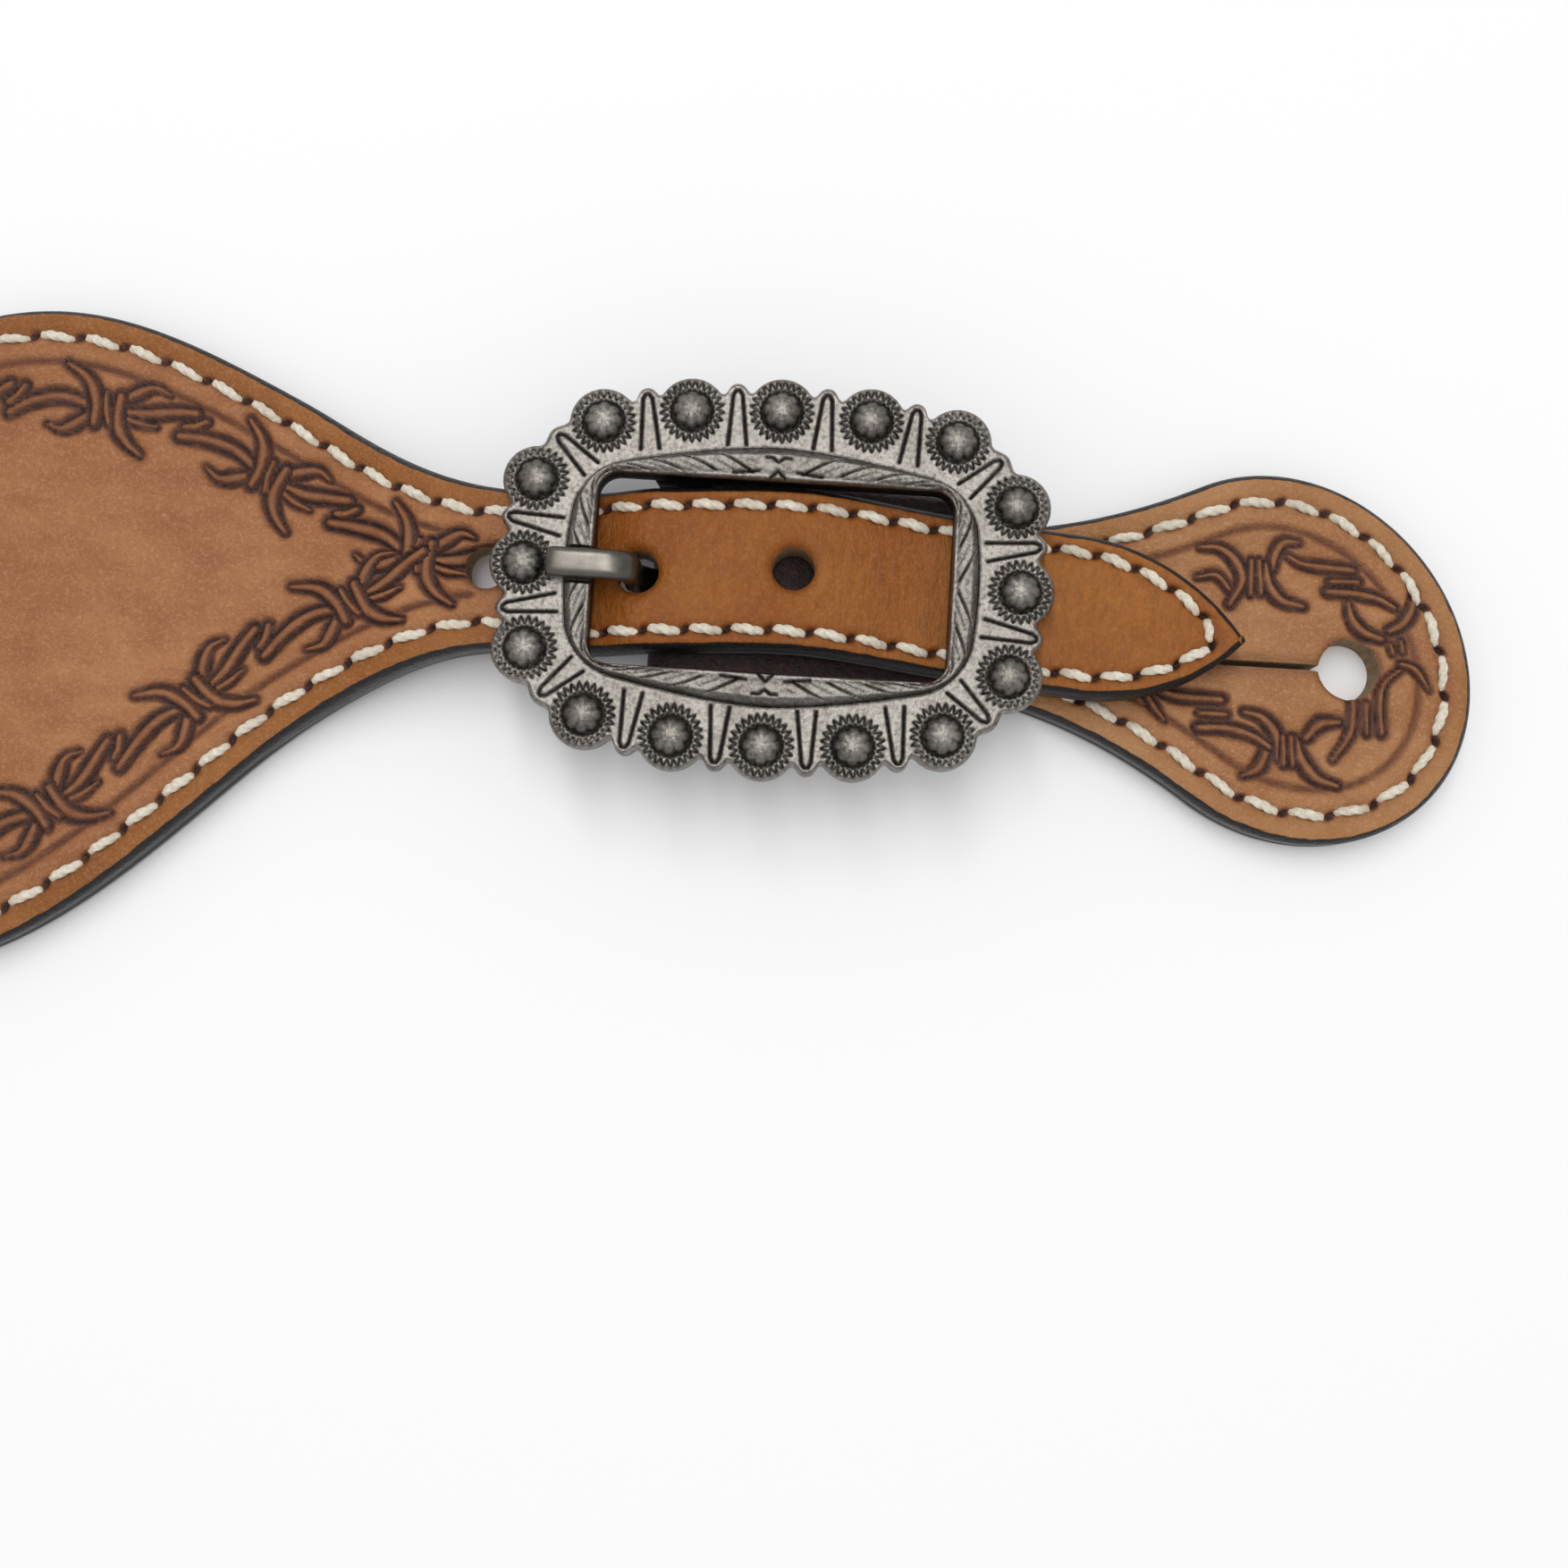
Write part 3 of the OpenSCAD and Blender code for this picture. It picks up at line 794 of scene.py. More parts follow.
# ---------------------------------------------------------------- the buckle
STUDS = [(0, 16.75), (8.95, 16.3), (17.65, 14.7), (23.85, 8.5), (24.6, 0)]
BUMPS = [(4.5, 18.5), (13.45, 17.5), (22.0, 12.95), (26.15, 4.6)]
VEINS = [((4.5, 18.8), (4.25, 13.1)), ((13.5, 17.85), (12.85, 12.2)), ((22.1, 13.1), (18.55, 9.8)), ((26.5, 4.65), (21.1, 3.8))]
SCALLOP_R, BUMP_R, STUD_R = 3.4, 0.95, 1.95
WINDOW_X, WINDOW_Y, WINDOW_R = 17.7, 9.6, 2.1
TEETH = 25


def mirrored(points):
    return sorted({(sx * x, sy * y) for x, y in points for sx in (-1, 1) for sy in (-1, 1)})


def box_distance(p, hx, hy, r):
    q = np.abs(p) - np.array([hx - r, hy - r])
    return np.linalg.norm(np.clip(q, 0, None), axis=-1) + np.minimum(q.max(axis=-1), 0) - r


def soft_union(a, b, k):
    h = np.clip(0.5 + 0.5 * (b - a) / k, 0, 1)
    return b * (1 - h) + a * h - k * h * (1 - h)


def barrel_distance(p, top, top_curve, power, side, side_curve, r):
    """Signed distance to a rounded shape whose long and short sides bulge outwards."""
    x, y = np.abs(p[..., 0]), np.abs(p[..., 1])
    over_top = y - (top - top_curve * x ** power)
    over_side = x - (side - side_curve * y ** 2)
    q = np.stack([over_top + r, over_side + r], axis=-1)
    return np.linalg.norm(np.clip(q, 0, None), axis=-1) + np.minimum(q.max(axis=-1), 0) - r


def plate_distance(p):
    """Signed distance to the plate's outline: scallops and small bumps round a rounded core."""
    d = barrel_distance(p, 18.35, 0.0068, 2, 26.5, 0.02, 3.5)
    for x, y in mirrored(STUDS):
        d = soft_union(np.hypot(p[..., 0] - x, p[..., 1] - y) - SCALLOP_R, d, 0.5)
    for x, y in mirrored(BUMPS):
        d = soft_union(np.hypot(p[..., 0] - x, p[..., 1] - y) - BUMP_R, d, 0.95)
    return d


def rim_distance(p):
    """Signed distance to the raised rim's outer side."""
    return barrel_distance(p, 12.95, 0.0283, 1.6, 20.45, 0.012, 3.6)


def segment_distance(p, a, b):
    a, b = np.asarray(a, float), np.asarray(b, float)
    d = b - a
    t = np.clip(((p - a) @ d) / (d @ d), 0, 1)
    return np.linalg.norm(p - a - t[..., None] * d, axis=-1)


def veins(p):
    """The narrow V under each bump: distance to its engraved line."""
    q = np.abs(p)
    best = np.full(p.shape[:-1], 1e9)
    for apex, foot in VEINS:
        apex, foot = np.array(apex), np.array(foot)
        inward = (foot - apex) / np.linalg.norm(foot - apex)
        across = np.array([-inward[1], inward[0]])
        for s in (-1, 1):
            knee = apex + inward * 0.6 + across * 0.46 * s
            best = np.minimum(best, segment_distance(q, knee, foot + across * 0.93 * s))
            best = np.minimum(best, segment_distance(q, knee, apex + inward * 0.12 + across * 0.16 * s))
        best = np.minimum(best, segment_distance(q, apex + inward * 0.12 - across * 0.16, apex + inward * 0.12 + across * 0.16))
    return best


def feather_lines(p, q):
    """Long slanted feather cuts round the rim: 1 in a cut, 0 between. q is 0 outside, 1 inside."""
    x, y = np.abs(p[..., 0]), np.abs(p[..., 1])
    long_side = y / WINDOW_Y > x / WINDOW_X
    along = np.where(long_side, x, y + 2.2)
    wave = (along + 5.4 * q ** 0.85) / 1.75
    order = np.round(wave)
    frac = np.abs(wave - order)
    main = order % 2 == 0
    line = np.exp(-(frac / (np.where(main, 0.1, 0.055) * (0.5 + 0.9 * q))) ** 2)
    line *= np.clip((q - np.where(main, 0.1, 0.3)) / 0.12, 0, 1) * np.clip((0.84 - q) / 0.1, 0, 1)
    return line * np.clip((along - 2.0) / 0.5, 0, 1) * np.where(main, 1.0, 0.55)


def crown_marks(p):
    """The small spray and triangle cut at the middle of each long side of the rim."""
    x, y = np.abs(p[..., 0]), np.abs(p[..., 1])
    q = np.stack([x, y - WINDOW_Y], axis=-1)
    best = segment_distance(q, (0.0, 1.75), (0.6, 2.2))
    best = np.minimum(best, segment_distance(q, (0.6, 2.2), (1.2, 2.2)))
    best = np.minimum(best, segment_distance(q, (0.0, 0.9), (0.7, 0.2)))
    return np.minimum(best, segment_distance(q, (1.9, 0.8), (4.4, 0.55)))


def plate_relief(p):
    """Height over the plate's flat and how dark it is there: patina in the cuts and hollows, and each dome darker
    towards its edge.
    """
    z = np.zeros(p.shape[:-1])
    dark = np.zeros(p.shape[:-1])
    for x, y in mirrored(STUDS):
        dx, dy = p[..., 0] - x, p[..., 1] - y
        r, a = np.hypot(dx, dy), np.arctan2(dy, dx)
        saw = np.abs(((a * TEETH / (2 * np.pi)) % 1) - 0.5) * 2
        zig = np.abs(r - (2.4 + 0.68 * saw)) * 0.6
        groove = np.exp(-(zig / 0.12) ** 2) * (r < 3.25) * (r > 2.2)
        z -= 0.28 * groove
        dark = np.maximum(dark, 0.8 * groove)
        moat = np.exp(-((r - STUD_R - 0.1) / 0.2) ** 2)
        z -= 0.22 * moat
        dark = np.maximum(dark, 0.8 * moat)
        lobe = np.abs(np.sin(4 * a))
        size = STUD_R * (1 - 0.07 * lobe ** 4)
        flute = 1 - 0.13 * lobe ** 6 * np.clip(r / STUD_R, 0, 1) ** 1.5
        dome = 1.3 * np.sqrt(np.clip(1 - (r / size) ** 2, 0, 1)) * flute
        z = np.where(r < size, dome - 0.12, z)
        line = 0.4 * lobe ** 10 * np.clip(r / STUD_R - 0.3, 0, 1)
        # Each dome is darker towards its edge, with darker lines between its lobes.
        dark = np.where(r < size, np.clip(0.08 + 0.5 * (r / size) ** 4 + line, 0, 1), dark)
    v = veins(p)
    outside_rim = rim_distance(p)
    g = np.exp(-(v / 0.14) ** 2) * (outside_rim > 0.05)
    z -= 0.26 * g
    dark = np.maximum(dark, 0.85 * g)
    window = box_distance(p, WINDOW_X, WINDOW_Y, WINDOW_R)
    q = np.clip(-outside_rim / np.maximum(-outside_rim + window, 1e-6), 0, 1)
    on_rim = outside_rim < 0
    crest = 0.9 * np.clip(q / 0.26, 0, 1) ** 0.6 * (1 - 0.3 * np.clip((q - 0.5) / 0.38, 0, 1) ** 2)
    crest += 0.22 * np.exp(-((q - 0.93) / 0.05) ** 2)
    lines = feather_lines(p, q)
    mark = np.exp(-(crown_marks(p) / 0.12) ** 2)
    notch = np.clip((1.9 - np.abs(p[..., 1])) / 0.35, 0, 1) * (p[..., 0] < -15)
    rim_z = (crest - 0.3 * lines - 0.25 * mark) * (1 - notch) + 0.05 * notch
    z = np.where(on_rim, np.maximum(rim_z, 0.0), z)
    bead = np.exp(-((q - 0.93) / 0.06) ** 2)
    tone = np.maximum(0.2 * (1 - bead), np.maximum(0.95 * lines, 0.95 * mark))
    dark = np.where(on_rim, tone * (1 - notch) + 0.5 * notch, dark)
    seam = np.exp(-(outside_rim / 0.16) ** 2)
    z -= 0.12 * seam
    return z, np.maximum(dark, 0.75 * seam)


def ring_curve(n):
    """A rounded oblong midway across the plate, evenly sampled, with its outward normals."""
    hx, hy, r = 20.9, 12.7, 6.2
    corners = [((hx - r, hy - r), 0), ((r - hx, hy - r), 90), ((r - hx, r - hy), 180), ((hx - r, r - hy), 270)]
    pts, nrm = [], []
    for (cx, cy), a0 in corners:
        for a in np.radians(np.linspace(a0, a0 + 90, 60)):
            pts.append((cx + r * math.cos(a), cy + r * math.sin(a)))
            nrm.append((math.cos(a), math.sin(a)))
    pts, nrm = np.array(pts + pts[:1]), np.array(nrm + nrm[:1])
    s = np.concatenate([[0], np.cumsum(np.linalg.norm(np.diff(pts, axis=0), axis=1))])
    even = np.linspace(0, s[-1], n, endpoint=False)
    p = np.stack([np.interp(even, s, pts[:, k]) for k in (0, 1)], axis=1)
    m = np.stack([np.interp(even, s, nrm[:, k]) for k in (0, 1)], axis=1)
    return p, m / np.linalg.norm(m, axis=1, keepdims=True)


def march(start, direction, distance, reach):
    """How far from start along direction the distance function turns positive."""
    lo, hi = np.zeros(len(start)), np.full(len(start), reach)
    for _ in range(40):
        mid = (lo + hi) / 2
        inside = distance(start + direction * mid[:, None]) < 0
        lo, hi = np.where(inside, mid, lo), np.where(inside, hi, mid)
    return lo


def buckle_plate():
    n, rows = 1500, 84
    base, normal = ring_curve(n)
    out = march(base, normal, plate_distance, 12)
    inn = march(base, -normal, lambda p: -box_distance(p, WINDOW_X, WINDOW_Y, WINDOW_R), 8)
    outer, inner = base + normal * out[:, None], base - normal * inn[:, None]
    rings, heights, darks = [], [], []
    w = np.linalg.norm(outer - inner, axis=1)

    def ring(points, z, dark):
        rings.append(points)
        heights.append(z)
        darks.append(dark)

    for v in np.linspace(0, 1, rows):
        p = inner * (1 - v) + outer * v
        z, dark = plate_relief(p)
        edge_out = np.clip(1 - (1 - v) * w / 0.5, 0, 1)
        edge_in = np.clip(1 - v * w / 0.55, 0, 1)
        z = z - 0.45 * edge_out ** 2 - 0.5 * edge_in ** 2
        ring(p, PLATE_TOP + z, dark * (1 - 0.6 * edge_out) + 0.5 * np.clip(edge_in - 0.75, 0, 1))
    under = PLATE_Z
    for drop, inset in ((0.9, -0.02), (1.9, 0.0), (2.5, 0.08), (2.9, 0.45)):
        ring(outer - normal * inset, np.full(n, PLATE_TOP - drop), np.full(n, 0.45))
    for v in (0.75, 0.5, 0.25):
        ring(inner * (1 - v) + outer * v, np.full(n, under), np.full(n, 0.35))
    # The window's inner walls are painted fully dark: painted shade down the walls of the window.
    for drop, inset in ((2.9, 0.4), (2.5, 0.06), (1.6, 0.0), (0.6, 0.0)):
        ring(inner + normal * inset, np.full(n, PLATE_TOP - drop), np.full(n, 1.0))
    k = len(rings)
    verts = np.concatenate([np.stack([r[:, 0], r[:, 1], z], axis=1) for r, z in zip(rings, heights)])
    faces = [tuple(f) for f in grid_faces(k, n, wrap_cols=True)]
    last = (k - 1) * n
    faces += [(last + i, last + (i + 1) % n, (i + 1) % n, i) for i in range(n)]
    obj = new_mesh("buckle_frame_cast", verts, faces)
    add_attribute(obj, "dark", np.concatenate(darks))
    merge_close(obj, 0.001)
    return obj


def bar_lug(side):
    """A rounded ear under the rim that holds one end of the bar."""
    n = 28
    outline = []
    for i in range(n + 1):
        a = math.pi + math.pi * i / n
        outline.append((BAR_X + 2.6 * math.cos(a), BAR_Z + 2.6 * math.sin(a)))
    outline += [(BAR_X + 3.1, PLATE_Z + 0.3), (BAR_X - 3.1, PLATE_Z + 0.3)]
    y0 = side * (WINDOW_Y + 0.2)
    ys = [(y0, 0.9), (y0 + side * 0.25, 1.0), (y0 + side * 2.15, 1.0), (y0 + side * 2.4, 0.9)]
    verts = [(BAR_X + (x - BAR_X) * s, y, z if z > PLATE_Z else BAR_Z + (z - BAR_Z) * s)
             for y, s in ys for x, z in outline]
    m = len(outline)
    faces = [tuple(f) for f in grid_faces(len(ys), m, wrap_cols=True)]
    faces += [tuple(range(m)), tuple(range((len(ys) - 1) * m, len(ys) * m))[::-1]]
    obj = new_mesh("lug", verts, faces)
    add_attribute(obj, "dark", np.full(len(verts), 0.5))
    merge_close(obj, 0.001)
    return obj


def tongue_piece():
    """The tongue: a loop round the bar, a shank up through the hole, and a half-round finger."""
    loop_mid = BAR_R + 0.08 + 0.62
    path, half_w, half_t = [], [], []
    for a in np.radians(np.linspace(-60, 245, 44)):
        path.append((BAR_X + loop_mid * math.sin(a), BAR_Z + loop_mid * math.cos(a)))
    path = path[::-1]
    shank = smooth_line([(-12.0, 5.5), (-13.0, 6.4), (-13.85, 8.2), (-13.95, 11.4), (-14.3, 12.7), (-15.6, 13.45),
                         (-18.0, 13.5), (-20.3, 13.45), (-22.1, 13.35)], 0.3)
    start = len(path)
    loop = np.array(path[:-1])
    line = np.vstack([loop[::-1][8:], shank])
    n = len(line)
    tangent = np.gradient(line, axis=0)
    tangent /= np.linalg.norm(tangent, axis=1, keepdims=True)
    normal = np.stack([-tangent[:, 1], tangent[:, 0]], axis=1)
    verts = []
    sides = 24
    split = n - len(shank)
    for i in range(n):
        u = np.clip((i - split) / 12, 0, 1)
        end = np.clip((n - 1 - i) / 3, 0, 1)
        w = 1.5 * (0.86 + 0.14 * math.sqrt(1 - (1 - end) ** 2))
        t = (0.6 + 0.3 * u) * (0.7 + 0.3 * math.sqrt(1 - (1 - end) ** 2))
        for j in range(sides):
            a = 2 * math.pi * j / sides
            c, s = math.cos(a), math.sin(a)
            across = w * math.copysign(abs(c) ** 0.6, c)
            rise = -t * math.copysign(abs(s) ** (0.8 if s < 0 else 0.45), s)
            rise = max(rise, -0.72 * t) if u > 0 else rise
            verts.append((line[i, 0] - normal[i, 0] * rise, across, line[i, 1] - normal[i, 1] * rise))
    faces = [tuple(f) for f in grid_faces(n, sides, wrap_cols=True)]
    faces += [tuple(range(sides))[::-1], tuple(range((n - 1) * sides, n * sides))]
    obj = new_mesh("buckle_tongue_steel", verts, faces)
    merge_close(obj, 0.001)
    return obj


# ---------------------------------------------------------------- materials
class Nodes:
    """Short ways to lay out a node material."""

    def __init__(self, name):
        self.m = bpy.data.materials.new(name)
        self.m.use_nodes = True
        self.t = self.m.node_tree
        self.shader = self.t.nodes["Principled BSDF"]

    def add(self, kind, **values):
        node = self.t.nodes.new(kind)
        for k, v in values.items():
            if hasattr(node, k):
                setattr(node, k, v)
            else:
                node.inputs[k].default_value = v
        return node

    def link(self, a, b):
        self.t.links.new(a, b)

    def coords(self):
        return self.add("ShaderNodeTexCoord").outputs["Object"]

    def attribute(self, name):
        return self.add("ShaderNodeAttribute", attribute_name=name).outputs["Fac"]

    def noise(self, scale, detail=4.0, rough=0.55, vector=None, stretch=None):
        node = self.add("ShaderNodeTexNoise")
        node.inputs["Scale"].default_value = scale
        node.inputs["Detail"].default_value = detail
        node.inputs["Roughness"].default_value = rough
        place = vector or self.coords()
        if stretch:
            m = self.add("ShaderNodeMapping")
            m.inputs["Scale"].default_value = stretch
            self.link(place, m.inputs["Vector"])
            place = m.outputs["Vector"]
        self.link(place, node.inputs["Vector"])
        return node.outputs["Fac"]

    def cells(self, scale):
        node = self.add("ShaderNodeTexVoronoi")
        node.feature = "SMOOTH_F1"
        node.inputs["Scale"].default_value = scale
        self.link(self.coords(), node.inputs["Vector"])
        return node.outputs["Distance"]

    def span(self, value, lo, hi, to_lo=0.0, to_hi=1.0):
        node = self.add("ShaderNodeMapRange")
        node.inputs["From Min"].default_value = lo
        node.inputs["From Max"].default_value = hi
        node.inputs["To Min"].default_value = to_lo
        node.inputs["To Max"].default_value = to_hi
        self.link(value, node.inputs["Value"])
        return node.outputs["Result"]

    def math(self, op, a, b=None):
        node = self.add("ShaderNodeMath")
        node.operation = op
        for socket, value in ((0, a), (1, b)):
            if value is None:
                continue
            if isinstance(value, (int, float)):
                node.inputs[socket].default_value = value
            else:
                self.link(value, node.inputs[socket])
        return node.outputs[0]

    def mix(self, factor, a, b):
        node = self.add("ShaderNodeMix")
        node.data_type = "RGBA"
        if isinstance(factor, (int, float)):
            node.inputs[0].default_value = factor
        else:
            self.link(factor, node.inputs[0])
        for socket, value in ((6, a), (7, b)):
            if isinstance(value, tuple):
                node.inputs[socket].default_value = (*value, 1)
            else:
                self.link(value, node.inputs[socket])
        return node.outputs[2]

    def bump(self, height, strength, distance, after=None):
        node = self.add("ShaderNodeBump")
        node.inputs["Strength"].default_value = strength
        node.inputs["Distance"].default_value = distance
        self.link(height, node.inputs["Height"])
        if after:
            self.link(after, node.inputs["Normal"])
        return node.outputs["Normal"]


def srgb(hex_code):
    """A linear colour from the usual six digits."""
    c = [int(hex_code[i:i + 2], 16) / 255 for i in (0, 2, 4)]
    return tuple(v / 12.92 if v <= 0.04045 else ((v + 0.055) / 1.055) ** 2.4 for v in c)


def tooled_leather(name, low, high, streak_colour, fleck, edge_low, edge_high):
    """Tooled and dyed leather: a cloudy tan, a different margin, stain in the cuts with painted shade round them and
    under the buckle, black edges.
    """
    n = Nodes(name)
    cloud = n.noise(70, 5, 0.6)
    streak = n.noise(420, 4, 0.6, stretch=(0.35, 1.0, 1.0))
    pore = n.noise(3000, 3, 0.7)
    tan = n.mix(n.span(cloud, 0.34, 0.66), srgb(low), srgb(high))
    tan = n.mix(n.span(streak, 0.4, 0.68, 0, 0.5), tan, srgb(streak_colour))
    tan = n.mix(n.span(pore, 0.5, 0.72, 0, 0.42), tan, srgb(fleck))
    margin = n.mix(n.span(cloud, 0.3, 0.7), srgb(edge_low), srgb(edge_high))
    margin = n.mix(n.span(pore, 0.5, 0.7, 0, 0.3), margin, srgb(fleck))
    colour = n.mix(n.attribute("margin"), tan, margin)
    stain_and_shade = n.attribute("stain_and_shade")
    wobble = n.math("MULTIPLY", n.span(n.noise(900, 3, 0.6), 0.3, 0.7, 0.8, 1.15), stain_and_shade)
    warm = n.mix(n.span(wobble, 0.0, 0.45), colour, srgb("653A22"))
    dark = n.mix(n.span(wobble, 0.4, 0.95), warm, srgb("2A1716"))
    rim = n.math("ADD", n.attribute("rim"), n.span(n.noise(500, 2, 0.5), 0.3, 0.7, -0.12, 0.12))
    black = n.span(rim, 0.45, 0.62)
    n.link(n.mix(black, dark, srgb("17110F")), n.shader.inputs["Base Color"])
    rough = n.span(n.noise(240, 4, 0.6), 0.3, 0.7, 0.38, 0.56)
    rough = n.math("SUBTRACT", rough, n.math("MULTIPLY", black, 0.16))
    n.link(rough, n.shader.inputs["Roughness"])
    n.shader.inputs["Specular IOR Level"].default_value = 0.36
    wrinkle = n.noise(1500, 4, 0.65, stretch=(0.75, 1.0, 1.0))
    grain = n.bump(n.span(wrinkle, 0.35, 0.65), 0.7, 0.00016)
    fine = n.bump(pore, 0.6, 0.0001, grain)
    n.link(fine, n.shader.inputs["Normal"])
    return n.m


def billet_leather():
    n = Nodes("billet_leather")
    cloud = n.noise(60, 4, 0.55)
    fibre = n.noise(1500, 5, 0.65, stretch=(1.0, 0.35, 1.0))
    tan = n.mix(n.span(cloud, 0.36, 0.64), srgb("874707"), srgb("9A5C1C"))
    tan = n.mix(n.span(fibre, 0.42, 0.7, 0, 0.5), tan, srgb("6A380B"))
    tan = n.mix(n.span(n.noise(2600, 3, 0.7), 0.5, 0.7, 0, 0.35), tan, srgb("AE7740"))
    stain_and_shade = n.math("MULTIPLY", n.span(n.noise(900, 3, 0.6), 0.3, 0.7, 0.8, 1.15), n.attribute("stain_and_shade"))
    warm = n.mix(n.span(stain_and_shade, 0.0, 0.5), tan, srgb("5E3213"))
    dark = n.mix(n.span(stain_and_shade, 0.45, 0.95), warm, srgb("21120E"))
    rim = n.math("ADD", n.attribute("rim"), n.span(n.noise(500, 2, 0.5), 0.3, 0.7, -0.12, 0.12))
    black = n.span(rim, 0.45, 0.62)
    n.link(n.mix(black, dark, srgb("17110F")), n.shader.inputs["Base Color"])
    rough = n.span(n.noise(300, 4, 0.6), 0.3, 0.7, 0.34, 0.5)
    n.link(rough, n.shader.inputs["Roughness"])
    n.shader.inputs["Specular IOR Level"].default_value = 0.26
    grain = n.bump(n.span(fibre, 0.35, 0.65), 0.6, 0.00014)
    n.link(n.bump(n.noise(2400, 3, 0.7), 0.5, 0.00013, grain), n.shader.inputs["Normal"])
    return n.m


def raw_leather():
    """The cut face inside a punched hole."""
    n = Nodes("raw_leather")
    fibre = n.noise(1800, 5, 0.7, stretch=(1.0, 1.0, 0.3))
    n.link(n.mix(n.span(fibre, 0.3, 0.7), srgb("6E5A3F"), srgb("A08660")), n.shader.inputs["Base Color"])
    n.shader.inputs["Roughness"].default_value = 0.8
    n.link(n.bump(fibre, 0.5, 0.0003), n.shader.inputs["Normal"])
    return n.m


def lining_leather():
    n = Nodes("lining_leather")
    cloud = n.noise(60, 5, 0.6)
    nap = n.noise(1500, 5, 0.75)
    tan = n.mix(n.span(cloud, 0.3, 0.7), srgb("70472A"), srgb("86593A"))
    tan = n.mix(n.span(nap, 0.4, 0.7, 0, 0.4), tan, srgb("56351D"))
    black = n.span(n.attribute("rim"), 0.35, 0.6)
    n.link(n.mix(black, tan, srgb("17110F")), n.shader.inputs["Base Color"])
    rough = n.math("SUBTRACT", n.span(nap, 0.3, 0.7, 0.6, 0.78), n.math("MULTIPLY", black, 0.36))
    n.link(rough, n.shader.inputs["Roughness"])
    n.link(n.bump(nap, 0.3, 0.0002), n.shader.inputs["Normal"])
    return n.m


def waxed_thread():
    n = Nodes("waxed_thread")
    fibre = n.noise(2200, 4, 0.7)
    soil = n.noise(160, 3, 0.6)
    clean = n.mix(n.span(fibre, 0.35, 0.7), srgb("C8BDA7"), srgb("EBE4D6"))
    n.link(n.mix(n.span(soil, 0.5, 0.75, 0, 0.5), clean, srgb("8F7656")), n.shader.inputs["Base Color"])
    n.shader.inputs["Roughness"].default_value = 0.62
    n.shader.inputs["Sheen Weight"].default_value = 0.2
    n.link(n.bump(fibre, 0.4, 0.0002), n.shader.inputs["Normal"])
    return n.m


def cast_pewter():
    n = Nodes("cast_pewter")
    sand = n.noise(2400, 4, 0.7)
    blotch = n.noise(190, 5, 0.65)
    bright = n.mix(n.span(blotch, 0.35, 0.68), srgb("7D7872"), srgb("9C9791"))
    bright = n.mix(n.span(sand, 0.45, 0.66, 0, 0.7), bright, srgb("4F4A44"))
    dark = n.math("MULTIPLY", n.attribute("dark"), n.span(sand, 0.3, 0.7, 0.85, 1.15))
    n.link(n.mix(n.span(dark, 0.12, 0.75), bright, srgb("1E1C1A")), n.shader.inputs["Base Color"])
    n.shader.inputs["Metallic"].default_value = 1.0
    rough = n.math("ADD", n.span(blotch, 0.3, 0.7, 0.27, 0.4), n.math("MULTIPLY", dark, 0.15))
    n.link(rough, n.shader.inputs["Roughness"])
    n.link(n.bump(sand, 0.5, 0.00018), n.shader.inputs["Normal"])
    return n.m


def worn_steel():
    n = Nodes("worn_steel")
    blotch = n.noise(260, 5, 0.65)
    scratch = n.noise(900, 4, 0.7, stretch=(0.15, 1.0, 1.0))
    n.link(n.mix(n.span(blotch, 0.35, 0.7), srgb("5A5650"), srgb("7C7770")), n.shader.inputs["Base Color"])
    n.shader.inputs["Metallic"].default_value = 1.0
    n.link(n.span(scratch, 0.3, 0.7, 0.26, 0.42), n.shader.inputs["Roughness"])
    n.link(n.bump(scratch, 0.12, 0.0001), n.shader.inputs["Normal"])
    return n.m


def floor_paint():
    n = Nodes("studio_floor")
    n.shader.inputs["Base Color"].default_value = (0.93, 0.93, 0.94, 1)
    n.shader.inputs["Roughness"].default_value = 0.9
    return n.m


# ---------------------------------------------------------------- building the pieces
def dress(obj, *materials):
    for m in materials:
        obj.data.materials.append(m)
    return obj


